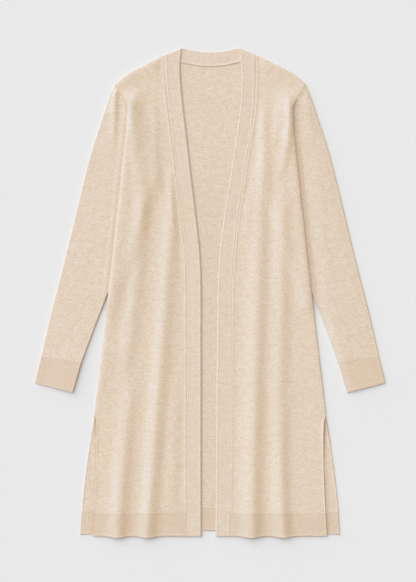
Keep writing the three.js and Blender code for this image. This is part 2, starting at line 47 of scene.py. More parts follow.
body = {
    "wall": 1.5,  # jersey
    "layer": 1.8,  # how much one layer lifts the next
    "hemDrop": 1001,
    "hemSag": 3.5,  # the hem hangs lower on the crest of a fold
    "hemFold": 8.5,  # height of a fold that brings that sag
    "hemRib": 47,
    "backHemCentre": 989.5,
    "backHemSide": 998,
    "slitDrop": 760,
    "shoulderTip": (194.5, 74),
    "sideTop": (167.5, 125),
    "sideAtSlit": 238.5,
    "sideBow": 1.3,
    "backHemHalf": 266,
    "backFlarePower": 1.45,
    "frontHemHalf": 240,
    "ribLift": 0.35,  # the fronts lie on the back's ribs
    "armholeEase": 60,  # below the armhole a panel's edge joins its side over this length
}
tipX, tipDrop = body["shoulderTip"]
slitDrop, hemRib = body["slitDrop"], body["hemRib"]
hemTop = body["hemDrop"] - hemRib
neckY = (body["hemDrop"] + body["hemSag"]) / 2  # the origin is in mid length
clothOrigin = (-300, 1021)  # x and drop at which the UV map of the panels starts

band = {
    "width": 30,
    "wall": 1.8,
    "spreadLength": 40,  # a little wider where it turns over the shoulder
    "seamAtShoulder": (93.3, 14.6),
    "neckFreeDrop": 9,
    "neckSeamDrop": 38.5,
    "neckHalf": 96.5,
    "freeLow": 2.5,  # underside along the free edge
    "settles": (45, 90),
    "slopeDiesOut": 140,
    "step": 3.2,
    "acrossStep": 1.5,
    "startsBelow": 3,  # its first section down a front, below the seam at the shoulder
    "turnSteps": 14,
    "neckSteps": 44,
    "footRows": (1.6, 0.9, 0.45, 0.15, 0),  # last sections, this far from the hem's end
    "bead": {"height": 0.55, "at": 2.2, "width": 1.4},  # raised edge stitch along the free edge
    "freeEdge": {"height": -1.1, "at": 0, "width": 1.8},  # it thins towards its free edge
    "thinnerAbove": (230, 420, 0.1),  # and more so round the neck
    "seamBead": {"height": 0.65, "at": 2.2, "width": 1.3},
    "seamParts": (1.4, 40, 200),  # how much farther both beads of the seam lie apart above these drops
    "neckBead": {"height": 1.0, "at": 2.0, "width": 1.7},  # seam round the back of the neck
    "seamFades": (180, 620),
    "seamFadesTo": 0.45,
}
bandX, bandDrop = band["seamAtShoulder"]

# Free edge of the band down each front, as (drop, half width)
bandEdgeRows = {
    -1: [(0, 57.5), (31, 61), (62, 60.3), (100, 57.3), (151, 51.5), (213, 44.2), (277, 36.9),
         (349, 28.1), (427, 20), (506, 17.5), (600, 17.5), (1001, 17.5)],
    1: [(0, 59), (31, 63), (62, 64), (100, 63.3), (151, 57.8), (213, 48.4), (277, 39),
        (349, 28), (427, 19), (506, 15.5), (600, 14.2), (1001, 11)],
}
# Side edge of each front below the top of its slit, as (drop, half width)
slitRows = [(760, 238.5), (768, 236.4), (780, 234), (803, 232.8), (865, 233.6), (930, 236.4), (1001, 240)]
# How far each front is drawn in at the top of its slit, and from, at and to which drop
slitTuck = {-1: (4.0, 746, 759, 788), 1: (3.0, 751, 761, 787)}
shoulderRows = [(58, 0), (93.3, 14.6), (139, 37), (171, 54.5), (194.5, 74)]

sleeve = {
    "flat": 3.3,
    "loft": {-1: 1.0, 1: 2.2},
    "besideFront": {-1: (1, 9), 1: (6, 42)},
    "tilt": {-1: 0.8, 1: 0.85},  # higher towards the body and lower at its outer edge by this share
    "belowShoulder": 50,
    "stepDown": (1, 14),  # from the back panel onto the surface
    "armholeRise": (74, 116),
    "opens": {-1: (1.6, 42), 1: (16, 16)},  # how far in from its inner and outer edge it reaches its loft
    "armholeShows": 0.75,  # the armhole seam shows from here to the shoulder tip
    "length": 560,
    "halfPoints": 72,
    "step": 3.6,
    "foldsFrom": 12,
    "ripple": {"height": 0.5, "size": 46, "stretch": 2.2, "seed": 11, "starts": (0, 25)},
    "head": {-1: (1.2, 0.3), 1: (2.3, 0.35)},  # height beside the armhole seam, and how soon it dies out
    "headFrom": (0.73, 0.8),  # it comes in between these shares of a section
}
# Sections of a sleeve from armhole to cuff: outer x and drop, inner x and drop, bow
sleeveRows = [
    (194.5, 74, 132, 268, 13.3),
    (205, 98, 133.5, 272, 9.5),
    (222, 148, 136, 279, 4),
    (238, 197, 140.5, 293, 1),
    (252, 246, 149, 325, 0),
    (276, 344, 171, 398, 0),
    (300, 443, 197, 472, 0),
    (325, 541, 229.5, 556, 0),
    (346, 632, 262.5, 644, 0),
]
cuff = {
    "outerEnd": (359.5, 687),
    "innerEnd": (280.5, 706.5),
    "length": 60,
    "loft": {-1: 2.0, 1: 1.6},
    "tilt": {-1: 0.9, 1: 0.85},
    "blend": (600, 650),  # drops between which a sleeve's loft and tilt turn to these
    "ribPoints": 6,
    "ribsFrom": (0, 0.06),  # from either edge
    "step": 3.0,
}
# Inner limit of the part of a sleeve that lies hidden between front and back, as (drop, x)
hiddenSleeveRows = [(123, 167.5), (148, 157.3), (187, 144.8), (227, 136.4), (268, 132), (325, 149),
                    (398, 171), (472, 197), (500, 208.5)]

# Soft folds, each with its side, bow, two flanks, and its two ends as (drop, x, height, fade)
frontFolds = [
    (-1, 4, 18, 22, (84, -171, 3.4, 30), (340, -139, 2.8, 80)),
    (-1, 5, 17, 16, (260, -134, 4.9, 80), (720, -182, 3.6, 110)),
    (-1, -3, 17, 16, (650, -157, 3.8, 100), (1001, -189, 7.3, 0)),
    (-1, 0, 15, 17, (160, -64, 3.6, 120), (1001, -129, 7.8, 0)),
    (-1, 0, 16, 13, (640, -64, 1.6, 110), (985, -82, 1.8, 60)),
    (-1, 0, 14, 14, (100, -116, 1.7, 60), (320, -106, 1.5, 70)),
    (1, 8, 14, 13, (84, 165, 4.4, 30), (300, 136, 2.6, 90)),
    (1, -4, 19, 17, (90, 115, 4, 80), (1001, 86, 8, 0)),
    (1, 1, 18, 17, (260, 149, 5, 90), (790, 140, 5, 120)),
    (1, -6, 17, 15, (690, 149, 4.4, 100), (1001, 151, 7.4, 0)),
    (1, 0, 14, 13, (280, 77, 2, 50), (420, 71, 1.6, 70)),
]
sleeveFolds = [
    (-1, 0, 13, 9, (76, -193.5, 3.8, 18), (250, -199, 1.2, 110)),
    (1, 0, 16, 15, (90, 199, 1.4, 25), (240, 203, 0.9, 90)),
]
# Small creases, each with its side, x, drop, direction in degrees, length, width and height
frontCreases = [
    (-1, -70, 934, 6, 15, 2.6, 0.7),
    (-1, -58, 947, -8, 10, 2.2, 0.5),
    (-1, -86, 925, 12, 9, 2.2, 0.5),
    (-1, -150, 142, 62, 22, 4.0, 0.6),
    (-1, -138, 470, 80, 26, 3.6, 0.4),
    (1, 58, 968, 10, 12, 2.4, 0.5),
    (1, 178, 905, 70, 20, 3.2, 0.4),
    (1, 152, 165, -66, 24, 4.0, 0.6),
    (1, 120, 610, 84, 30, 3.6, 0.4),
]
# Shallow troughs in the back's underside, each with its x, drop, width, length and height
backTroughs = [
    (-150, 420, 8, 210, 0.45),
    (-62, 700, 9, 240, 0.5),
    (34, 520, 7, 260, 0.4),
    (118, 760, 9, 190, 0.5),
    (186, 560, 7, 150, 0.4),
    (-205, 850, 8, 110, 0.45),
]
lie = {
    "foldsWiden": (180, 400),  # folds are narrower towards the shoulders
    "foldsStart": 0.65,
    "edgeRoll": (9, 2.4),  # radius and height of the rounded sides of the fronts
    "edgeRollEnds": (670, 760),
    "edgeRollFades": {-1: 0.85, 1: 0.3},  # what is left of it below the armpit
    "shoulderRoll": (9, 1.9),
    "clearOfBand": (2, 20),
    "hiddenLift": 3.6,
    "hiddenRamp": (10, 40),
    "hiddenEnds": (510, 570),
    "ripple": {"height": 0.5, "size": 42, "stretch": 2.2, "seed": 3, "starts": (4, 30)},
}
# Painted shade: cloth close beside a higher edge, where shade falls, is painted deeper and warmer.
# Each entry gives a strength and how far that reaches.
paintedShade = {
    "bandEdge": {-1: (0.42, 2.2), 1: (0.12, 1.6)},
    "betweenBands": (0.07, 60, (220, 330)),  # strength, half width, and drops between which it comes in
    "neckSeam": (0.25, 1.8),
    "slitTop": {-1: (1.0, 3.2), 1: (1.0, 3.6)},
    "slitBelow": {-1: (0.34, 3.4), 1: (0.3, 8)},
    "slitStarts": (0.3, 0.8),  # shares of the way down to the deepest point of the front's tuck
    "slitTopEnds": {-1: (770, 806), 1: (782, 850)},  # drops over which slitTop gives way to slitBelow
    "sideEdge": {-1: (0.16, 2.2), 1: (0.36, 8)},
    "sideShows": ((84, 120), (480, 530)),  # drops over which sideEdge comes in and goes out
    "armhole": {-1: (0.62, 4.2), 1: (0.9, 2.0)},
}
rib = {
    "pitch": 3.6,
    "relief": 0.12,  # half the depth of the ribs
    "points": 6,
    "starts": (1, 6),  # they run out towards the upper and the lower end
    "ends": (2, 7),
    "step": 4.0,
    "endBead": {"height": 0.8, "at": 1.9, "width": 1.5},
}


def lerp(a, b, t):
    return a + (b - a) * t


def smoothstep(value, low, high):
    t = np.clip((value - low) / (high - low), 0, 1)
    return t * t * (3 - 2 * t)


# Comes in over one range and goes out again over another
def within(value, rise, fall):
    return smoothstep(value, *rise) * (1 - smoothstep(value, *fall))


def least(*values):
    return functools.reduce(np.minimum, values)


def arch(t):
    return 4 * t * (1 - t)


def curveThrough(at, out):
    at, out = np.array(at, float), np.array(out, float)
    slope = np.empty_like(out)
    slope[1:-1] = (out[2:] - out[:-2]) / (at[2:] - at[:-2])
    slope[0] = (out[1] - out[0]) / (at[1] - at[0])
    slope[-1] = (out[-1] - out[-2]) / (at[-1] - at[-2])

    def value(where):
        i = np.clip(np.searchsorted(at, where) - 1, 0, len(at) - 2)
        span = at[i + 1] - at[i]
        t = np.clip((where - at[i]) / span, 0, 1)
        start = (2 * t**3 - 3 * t**2 + 1) * out[i] + (t**3 - 2 * t**2 + t) * span * slope[i]
        return start + (3 * t**2 - 2 * t**3) * out[i + 1] + (t**3 - t**2) * span * slope[i + 1]

    return value


bandEdge = {side: curveThrough(*zip(*rows)) for side, rows in bandEdgeRows.items()}
shoulderLine = curveThrough(*zip(*shoulderRows))
slitSide = curveThrough(*zip(*slitRows))
hiddenSleeve = curveThrough(*zip(*hiddenSleeveRows))
lastRow = len(sleeveRows) - 1
sleeveColumns = [curveThrough(range(len(sleeveRows)), column) for column in zip(*sleeveRows)]


def bandSeam(side, drop):
    spread = np.minimum(np.exp((bandDrop - drop) / band["spreadLength"]), 1)
    return lerp(bandEdge[side](drop) + band["width"], bandX, spread)


def sideSeam(drop):
    t = (drop - body["sideTop"][1]) / (slitDrop - body["sideTop"][1])
    return lerp(body["sideTop"][0], body["sideAtSlit"], t) - body["sideBow"] * arch(t)


def frontSide(side, drop):
    depth, start, full, end = slitTuck[side]
    tuck = depth * within(drop, (start, full), (full, end))
    return np.where(drop <= slitDrop, sideSeam(drop), slitSide(drop)) - tuck


def backSide(drop):
    t = np.clip((drop - slitDrop) / (body["backHemSide"] - slitDrop), 0, 1)
    below = lerp(body["sideAtSlit"], body["backHemHalf"], 1 - (1 - t) ** body["backFlarePower"])
    return np.where(drop <= slitDrop, sideSeam(drop), below)


def backNeckSeam(x):
    end = shoulderLine(band["neckHalf"])
    return lerp(band["neckSeamDrop"], end, (x / band["neckHalf"]) ** 2)


def backHemSeam(x):
    return lerp(body["backHemCentre"], body["backHemSide"], (x / body["backHemHalf"]) ** 2) - hemRib


# A point of a sleeve's section in plan. across runs from its inner edge, 0, to its outer edge, 1.
def sleevePlan(at, across):
    outerX, outerDrop, innerX, innerDrop, bow = (column(at) for column in sleeveColumns)
    alongX, alongDrop = outerX - innerX, outerDrop - innerDrop
    length = np.hypot(alongX, alongDrop)
    push = bow * arch(across) / length
    x = lerp(innerX, outerX, across) + alongDrop * push
    return x, lerp(innerDrop, outerDrop, across) - alongX * push


def foldHeight(fold, side, x, drop):
    foldSide, bow, minusFlank, plusFlank, start, end = fold
    if foldSide != side:
        return 0 * x
    t = np.clip((drop - start[0]) / (end[0] - start[0]), 0, 1)
    offset = x - lerp(start[1], end[1], t) - bow * arch(t)
    widened = lerp(lie["foldsStart"], 1, smoothstep(drop, *lie["foldsWiden"]))
    flank = np.where(offset < 0, minusFlank, plusFlank) * widened
    rise = smoothstep(drop, start[0], start[0] + start[3])
    fall = 1 - smoothstep(drop, end[0] - end[3], end[0]) if end[3] else 1
    return lerp(start[2], end[2], t) * rise * fall * np.exp(-((offset / flank) ** 2))


def foldsAt(folds, side, x, drop):
    return sum(foldHeight(fold, side, x, drop) for fold in folds)


def creaseHeight(creases, side, x, drop):
    total = 0 * x
    for creaseSide, creaseX, creaseDrop, direction, length, width, height in creases:
        if creaseSide == side:
            turn = math.radians(direction)
            dx, dy = x - creaseX, creaseDrop - drop
            along = dx * math.cos(turn) + dy * math.sin(turn)
            over = dy * math.cos(turn) - dx * math.sin(turn)
            total = total + height * np.exp(-((along / length) ** 2) - (over / width) ** 2)
    return total


def restHeight(drop):
    ramp = smoothstep(drop, hemTop - 2 * hemRib, hemTop - hemRib)
    return body["layer"] + body["ribLift"] * ramp


def rollAt(roll, inset):
    radius, height = roll
    return height * (inset / radius) * np.exp(1 - inset / radius)


# Underside of a front: on the back panel, over the hidden sleeve, and up in its folds.
def frontLow(side, x, drop):
    half = np.abs(x)
    inset = np.maximum(frontSide(side, drop) - half, 0)
    hiddenWidth = np.maximum(sideSeam(drop) - hiddenSleeve(drop), 0)
    overSleeve = within(drop, sleeve["armholeRise"], lie["hiddenEnds"])
    overSleeve = overSleeve * (1 - smoothstep(inset - hiddenWidth, *lie["hiddenRamp"]))
    besideBand = smoothstep(half - bandSeam(side, drop), *lie["clearOfBand"])
    belowTip = (tipDrop, body["sideTop"][1])
    sideRoll = within(drop, belowTip, lie["edgeRollEnds"]) * rollAt(lie["edgeRoll"], inset)
    sideRoll = sideRoll * lerp(1, lie["edgeRollFades"][side], smoothstep(drop, *lie["hiddenEnds"]))
    shoulderInset = np.maximum(drop - shoulderLine(np.minimum(half, tipX)), 0)
    raised = sideRoll + rollAt(lie["shoulderRoll"], shoulderInset) + foldsAt(frontFolds, side, x, drop)
    return restHeight(drop) + lie["hiddenLift"] * overSleeve + raised * besideBand


def near(setting, distance):
    strength, reach = setting
    return strength * np.exp(-((distance / reach) ** 2))


# Painted shade on the back: darker and warmer beside the band's free edges, below the neck seam, between
# the bands and at the tops of the slits.
def paintedShadeOnBack(x, drop):
    deep = near(paintedShade["neckSeam"], drop - backNeckSeam(np.minimum(np.abs(x), band["neckHalf"])))
    strength, half, comesIn = paintedShade["betweenBands"]
    deep = np.maximum(deep, strength * smoothstep(drop, *comesIn) * (np.abs(x) < half))
    for side in (-1, 1):
        deep = np.maximum(deep, near(paintedShade["bandEdge"][side], bandEdge[side](drop) - side * x))
        below = smoothstep(drop, *paintedShade["slitTopEnds"][side])
        beside = side * x - frontSide(side, drop)
        slit = [near(paintedShade[part][side], beside) for part in ("slitTop", "slitBelow")]
        start, full = slitTuck[side][1:3]
        starts = [lerp(start, full, share) for share in paintedShade["slitStarts"]]
        deep = np.maximum(deep, lerp(*slit, below) * smoothstep(drop, *starts))
    return deep


# Slight unevenness of cloth that lies by itself, longer down the garment than across.
def ripple(settings, side, x, drop):
    across, seed = settings["size"], settings["seed"] + side
    along = settings["stretch"] * across
    flat = [noise.noise(Vector((a / across, b / along, seed))) for a, b in zip(x.ravel(), drop.ravel())]
    return settings["height"] * (0.5 + np.array(flat).reshape(x.shape))


# Gives a node's inputs a value or another node's output each, by name or number
def fill(tree, node, inputs):
    for name, value in inputs.items():
        if isinstance(value, bpy.types.NodeSocket):
            tree.links.new(value, node.inputs[name])
        else:
            node.inputs[name].default_value = value
    return node.outputs


def added(tree, kind, inputs):
    return fill(tree, tree.nodes.new(kind), inputs)


def maths(tree, operation, *values):
    node = tree.nodes.new("ShaderNodeMath")
    node.operation = operation
    return fill(tree, node, dict(enumerate(values)))[0]


def vectorMaths(tree, operation, inputs):
    node = tree.nodes.new("ShaderNodeVectorMath")
    node.operation = operation
    return fill(tree, node, inputs)


def mixed(tree, factor, first, second, blend="MIX"):
    node = tree.nodes.new("ShaderNodeMix")
    node.data_type = "RGBA"
    node.blend_type = blend
    return fill(tree, node, {"Factor": factor, 6: first, 7: second})[2]


def stretched(tree, where, scale, degrees):
    turn = (0, 0, math.radians(degrees))
    return added(tree, "ShaderNodeMapping", {"Vector": where, "Scale": scale, "Rotation": turn})["Vector"]


def noised(tree, where, inputs):
    return added(tree, "ShaderNodeTexNoise", {"Vector": where, **inputs})["Fac"]


def ranged(tree, value, low, high, top):
    inputs = {"Value": value, "From Min": low, "From Max": high, "To Max": top}
    return added(tree, "ShaderNodeMapRange", inputs)["Result"]


def shaded(tree, value, positions, colours):
    node = tree.nodes.new("ShaderNodeValToRGB")
    for element, position, colour in zip(node.color_ramp.elements, positions, colours):
        element.position = position
        element.color = (*colour, 1)
    return fill(tree, node, {"Fac": value})["Color"]


# What all the knits share. Their scales count in metres of the cloth.
knit = {
    "yarnStretch": (1, 1.6, 1),
    "melange": {"Detail": 3, "Roughness": 0.68, "Distortion": 0.6},
    "cloud": {"Scale": 75, "Detail": 3},
    "cloudShare": 0.2,
    "shades": (0.365, 0.625),
    "flecks": {"Scale": 330, "Detail": 1},
    "fleckRange": (0.66, 0.78, 0.7),
    "fibreLie": ((0.42, 1.25, 1), -8),  # short pale fibres lie mostly across the cloth
    "fibres": {"Scale": 400, "Detail": 0, "Distortion": 1.6},
    "fibreRange": (0.60, 0.70),
    "wale": 0.0018,  # width and height of a stitch
    "course": 0.0014,
    "lean": 1.4,
    "yarnRelief": 2.4,
    "relief": 0.0008,
    "surface": {"Roughness": 0.94, "Specular IOR Level": 0.2, "Sheen Weight": 0.12, "Sheen Roughness": 0.6},
}
# Each slot's knit. yarn is the fineness of its melange.
finishes = {
    "jersey": {"dark": (0.711, 0.550, 0.381), "light": (0.881, 0.769, 0.628),
               "fleck": (0.929, 0.885, 0.800), "yarn": 390, "slant": 14, "fibres": 0.42, "bump": 0.45},
    "band": {"dark": (0.671, 0.535, 0.396), "light": (0.816, 0.715, 0.583),
             "fleck": (0.894, 0.837, 0.745), "yarn": 380, "slant": 0, "fibres": 0.22, "bump": 0.25},
    "rib": {"dark": (0.664, 0.515, 0.364), "light": (0.764, 0.639, 0.501),
            "fleck": (0.840, 0.753, 0.643), "yarn": 360, "slant": 0, "fibres": 0.22, "bump": 0.25},
}
# Painted light and shade: slopes that face the upper left, where the window light comes from, are painted
# paler, and those that face away are painted warmer.
slopeLightPaint = {
    "towards": (-0.766, 0.643, 0),
    "steep": 0.3,
    "away": (1.087, 1.015, 0.915),
    "facing": (0.962, 1.0, 1.11),
}
# Painted shade: the deep, warm colour that cloth beside a higher edge is multiplied towards
paintedShadeTint = (0.68, 0.54, 0.375)  # of cloth beside a higher edge


# Paints light and shade into the colour by how each slope faces the window light, then paints shade beside
# higher edges.
def paintedBySlope(tree, colour):
    normal = tree.nodes.new("ShaderNodeTexCoord").outputs["Normal"]
    slope = vectorMaths(tree, "DOT_PRODUCT", {0: normal, 1: slopeLightPaint["towards"]})["Value"]
    tint = tree.nodes.new("ShaderNodeMapRange")
    tint.data_type = "FLOAT_VECTOR"
    ends = {7: (-slopeLightPaint["steep"],) * 3, 8: (slopeLightPaint["steep"],) * 3, 9: slopeLightPaint["away"], 10: slopeLightPaint["facing"]}
    tinted = fill(tree, tint, {"Vector": slope, **ends})["Vector"]
    slopePainted = vectorMaths(tree, "MULTIPLY", {0: colour, 1: tinted})["Vector"]
    # Painted shade: where a piece's painted shade attribute is set, the colour is multiplied towards a
    # deep, warm tint.
    deep = tree.nodes.new("ShaderNodeAttribute")
    deep.attribute_name = "paintedShade"
    return mixed(tree, deep.outputs["Fac"], slopePainted, (*paintedShadeTint, 1), "MULTIPLY")


# Height of stocking stitch: columns of V shapes, one leg leaning each way.
def knitStitches(tree, where):
    split = added(tree, "ShaderNodeSeparateXYZ", {"Vector": where})
    fold = maths(tree, "PINGPONG", maths(tree, "MULTIPLY", split["X"], 1 / knit["wale"]), 0.5)
    rows = maths(tree, "MULTIPLY", split["Y"], 1 / knit["course"])
    leg = maths(tree, "ADD", rows, maths(tree, "MULTIPLY", fold, knit["lean"]))
    loop = maths(tree, "ABSOLUTE", maths(tree, "SINE", maths(tree, "MULTIPLY", leg, math.pi)))
    ridges = maths(tree, "SINE", maths(tree, "MULTIPLY", fold, 2 * math.pi))
    return maths(tree, "MULTIPLY", loop, ridges)


def startMaterial(name):
    material = bpy.data.materials.new(name)
    material.use_nodes = True
    return material, material.node_tree, material.node_tree.nodes["Principled BSDF"]


# Melange knit: yarns of two shades run across the cloth, with paler flecks and a fuzzy surface.
def knitMaterial(name, finish):
    material, tree, shader = startMaterial(name)
    coords = tree.nodes.new("ShaderNodeUVMap")
    coords.uv_map = "cloth"
    cloth = coords.outputs["UV"]
    yarns = stretched(tree, cloth, knit["yarnStretch"], finish["slant"])
    melange = noised(tree, yarns, {"Scale": finish["yarn"], **knit["melange"]})
    cloud = noised(tree, yarns, knit["cloud"])
    tone = added(tree, "ShaderNodeMix", {"Factor": knit["cloudShare"], 2: melange, 3: cloud})[0]
    colour = shaded(tree, tone, knit["shades"], (finish["dark"], finish["light"]))
    flecks = ranged(tree, noised(tree, yarns, knit["flecks"]), *knit["fleckRange"])
    colour = mixed(tree, flecks, colour, (*finish["fleck"], 1))
    fibres = noised(tree, stretched(tree, cloth, *knit["fibreLie"]), knit["fibres"])
    fibres = ranged(tree, fibres, *knit["fibreRange"], finish["fibres"])
    colour = mixed(tree, fibres, colour, (*finish["fleck"], 1))
    height = maths(tree, "MULTIPLY_ADD", melange, knit["yarnRelief"], knitStitches(tree, cloth))
    relief = {"Strength": finish["bump"], "Distance": knit["relief"], "Height": height}
    normal = added(tree, "ShaderNodeBump", relief)["Normal"]
    fill(tree, shader, {"Base Color": paintedBySlope(tree, colour), "Normal": normal, **knit["surface"]})
    return material


def plainMaterial(name, colour, roughness):
    material, tree, shader = startMaterial(name)
    fill(tree, shader, {"Base Color": (*colour, 1), "Roughness": roughness})
    return material


# Sewing yarn, a shade paler than the knit
yarn = {
    "pale": (0.90, 0.80, 0.68),
    "deep": (0.80, 0.67, 0.53),
    "shades": (0.35, 0.65),
    "scale": 260,
    "roughness": 0.9,
    "gloss": 0.2,
}


def yarnMaterial(name):
    material = plainMaterial(name, yarn["pale"], yarn["roughness"])
    tree = material.node_tree
    where = tree.nodes.new("ShaderNodeTexCoord").outputs["Object"]
    strand = noised(tree, where, {"Scale": yarn["scale"]})
    colour = shaded(tree, strand, yarn["shades"], (yarn["deep"], yarn["pale"]))
    fill(tree, tree.nodes["Principled BSDF"], {"Base Color": colour, "Specular IOR Level": yarn["gloss"]})
    return material


seamYarn = yarnMaterial("seamYarn")
materialNames = {"jersey": "melangeJersey", "band": "bandKnit", "rib": "ribKnit"}
knits = {slot: knitMaterial(materialNames[slot], finish) for slot, finish in finishes.items()}
print("materials made")


# A Geometry Nodes tree with named inputs, and what its input node gives
def startTree(name, kinds):
    tree = bpy.data.node_groups.new(name, "GeometryNodeTree")
    for label, kind in {"Geometry": "Geometry", **kinds, "Material": "Material"}.items():
        tree.interface.new_socket(label, in_out="INPUT", socket_type="NodeSocket" + kind)
    tree.interface.new_socket("Geometry", in_out="OUTPUT", socket_type="NodeSocketGeometry")
    return tree, tree.nodes.new("NodeGroupInput").outputs


def endTree(tree, geometry, material):
    real = added(tree, "GeometryNodeRealizeInstances", {"Geometry": geometry})["Geometry"]
    painted = added(tree, "GeometryNodeSetMaterial", {"Geometry": real, "Material": material})["Geometry"]
    added(tree, "NodeGroupOutput", {"Geometry": painted})
    return tree


def pointValue(tree, name):
    node = tree.nodes.new("GeometryNodeInputNamedAttribute")
    node.data_type = "FLOAT"
    return fill(tree, node, {"Name": name})["Attribute"]


# Geometry Nodes: raises ribs along a surface, by the phase and the strength that each point carries.
def ribTree():
    tree, start = startTree("raisedRibs", {"Rib Count": "Float", "Relief": "Float"})
    turns = maths(tree, "MULTIPLY", pointValue(tree, "ribPhase"), start["Rib Count"])
    wave = maths(tree, "COSINE", maths(tree, "MULTIPLY", turns, 2 * math.pi))
    height = maths(tree, "MULTIPLY", wave, start["Relief"])
    height = maths(tree, "MULTIPLY", height, pointValue(tree, "ribFade"))
    normal = tree.nodes.new("GeometryNodeInputNormal").outputs["Normal"]
    offset = vectorMaths(tree, "SCALE", {0: normal, "Scale": height})["Vector"]
    moved = added(tree, "GeometryNodeSetPosition", {"Geometry": start["Geometry"], "Offset": offset})
    return endTree(tree, moved["Geometry"], start["Material"])


raisedRibs = ribTree()


# The plain mesh that a node tree makes of a piece
def grown(piece, tree, inputs):
    modifier = piece.modifiers.new(tree.name, "NODES")
    modifier.node_group = tree
    for item in tree.interface.items_tree:
        if item.in_out == "INPUT" and item.name in inputs:
            modifier[item.identifier] = inputs[item.name]
    graph = bpy.context.evaluated_depsgraph_get()
    shown = piece.evaluated_get(graph)
    mesh = bpy.data.meshes.new_from_object(shown, preserve_all_data_layers=True, depsgraph=graph)
    piece.modifiers.remove(modifier)
    piece.data = mesh
    return piece


def setColumn(piece, name, values):
    column = np.zeros(len(piece.data.vertices), np.float32)
    column[: values.size] = values.ravel()
    piece.data.attributes.new(name, "FLOAT", "POINT").data.foreach_set("value", column)


# turns says where round the ribs a point is, and strength how far they stand up there.
# The underside has none.
def ribbed(piece, turns, strength, count):
    setColumn(piece, "ribPhase", turns)
    setColumn(piece, "ribFade", strength)
    sizes = {"Rib Count": float(count), "Relief": rib["relief"] * mm, "Material": knits["rib"]}
    return grown(piece, raisedRibs, sizes)


grid = {
    "edge": (0, 0.02, 0.12, 0.27, 0.48, 0.75, 1.1, 1.5, 1.9, 2.4, 3.0),  # first stations in from an edge
    "evenFrom": 2.2,  # how many steps in from an edge the stations are even
    "firstGap": 0.7,
    "growth": 0.25,
}
rims = {
    "slope": 2.8,  # how soon a free edge is at full thickness, and how round
    "power": 1.8,
    "groove": 0.9,  # share of the thickness in a seam's groove
    "grooveWidth": 0.7,
    "tubeEnd": 0.05,  # least share at a tube's ends, which stay open
}


# Stations across a strip of cloth, as shares of its width and fixed offsets from its ends: close together
# at the edges, and even in between.
def stations(width, step):
    cluster = list(grid["edge"])
    while cluster[-1] < grid["evenFrom"] * step:
        cluster.append(cluster[-1] + min(step, grid["firstGap"] + grid["growth"] * cluster[-1]))
    middle = max(int((width - 2 * cluster[-1]) / step), 1)
    between = [i / middle for i in range(1, middle)]
    inner = [lerp(cluster[-1], -cluster[-1], t) for t in between]
    share = [0] * len(cluster) + between + [1] * len(cluster)
    return np.array(share, float), np.array(cluster + inner + [-c for c in reversed(cluster)], float)


def distances(length, step):
    share, offset = stations(length, step)
    return share * length + offset


# Where a strip's points lie across it: their share of its width, and how far they are from its two sides
def acrossStrip(nominal, step, width):
    share, offset = stations(nominal, step)
    inset = share * width + offset
    return inset / width, inset, (1 - share) * width - offset


# Share of the wall's thickness beside a free, rounded edge
def rimShare(distance, wall=body["wall"]):
    return 1 - (1 - np.clip(rims["slope"] * distance / wall, 0, 1)) ** rims["power"]


# The same beside a seam, where the next piece carries on and only a shallow groove shows
def seamShare(distance):
    beside = smoothstep(distance, 0, rims["grooveWidth"])
    return np.where(distance <= 0, 0, lerp(rims["groove"], 1, beside))


# A closed shell between an upper and a lower grid that meet in a shared rim.
def shellMesh(name, upper, lower, uv):
    rows, columns = upper.shape[:2]
    high = np.arange(rows * columns).reshape(rows, columns)
    low = high.copy()
    inside = (slice(1, rows - 1), slice(1, columns - 1))
    low[inside] = rows * columns + np.arange((rows - 2) * (columns - 2)).reshape(rows - 2, columns - 2)
    points = np.concatenate([upper.reshape(-1, 3), lower[inside].reshape(-1, 3)])
    uvs = np.concatenate([uv.reshape(-1, 2), uv[inside].reshape(-1, 2)])
    return meshFrom(name, points, np.concatenate([gridFaces(high), gridFaces(low)[:, ::-1]]), uvs)


def gridFaces(index):
    corners = (index[:-1, :-1], index[1:, :-1], index[1:, 1:], index[:-1, 1:])
    return np.stack([corner.ravel() for corner in corners], axis=1)


# A piece of cloth at the origin, in metres, with its faces turned outwards.
def meshFrom(name, points, faces, uvs):
    corner = points[faces]
    spread = np.cross(corner[:, 2] - corner[:, 0], corner[:, 3] - corner[:, 1])
    if (spread * corner.mean(axis=1)).sum() < 0:
        faces = faces[:, ::-1]
    mesh = bpy.data.meshes.new(name)
    mesh.from_pydata((points * mm).tolist(), [], faces.tolist())
    layer = mesh.uv_layers.new(name="cloth")
    layer.data.foreach_set("uv", (uvs[faces.ravel()] * mm).astype(np.float32).ravel())
    mesh.polygons.foreach_set("use_smooth", [True] * len(mesh.polygons))
    return addObject(name, mesh)


def addObject(name, data):
    made = bpy.data.objects.new(name, data)
    bpy.context.scene.collection.objects.link(made)
    return made


def placed(x, drop, z):
    return np.stack([x, neckY - drop, z], axis=-1)


# A laid panel from its plan and its underside's height. thick is the share of the wall that is left near
# its rims, and lift is what stands up on top.
def panelMesh(name, x, drop, low, thick, lift):
    middle = low + body["wall"] / 2
    half = thick * body["wall"] / 2
    uv = np.stack([x - clothOrigin[0], clothOrigin[1] - drop], axis=-1)
    top = middle + half + lift * thick
    return shellMesh(name, placed(x, drop, top), placed(x, drop, middle - half), uv)


# The side of a panel, as lengths down the armhole seam that shows and then the side.
armholeLength = math.dist(sleevePlan(0, 1), sleevePlan(0, sleeve["armholeShows"]))
armholeEnd = [float(v) for v in sleevePlan(0, sleeve["armholeShows"])]


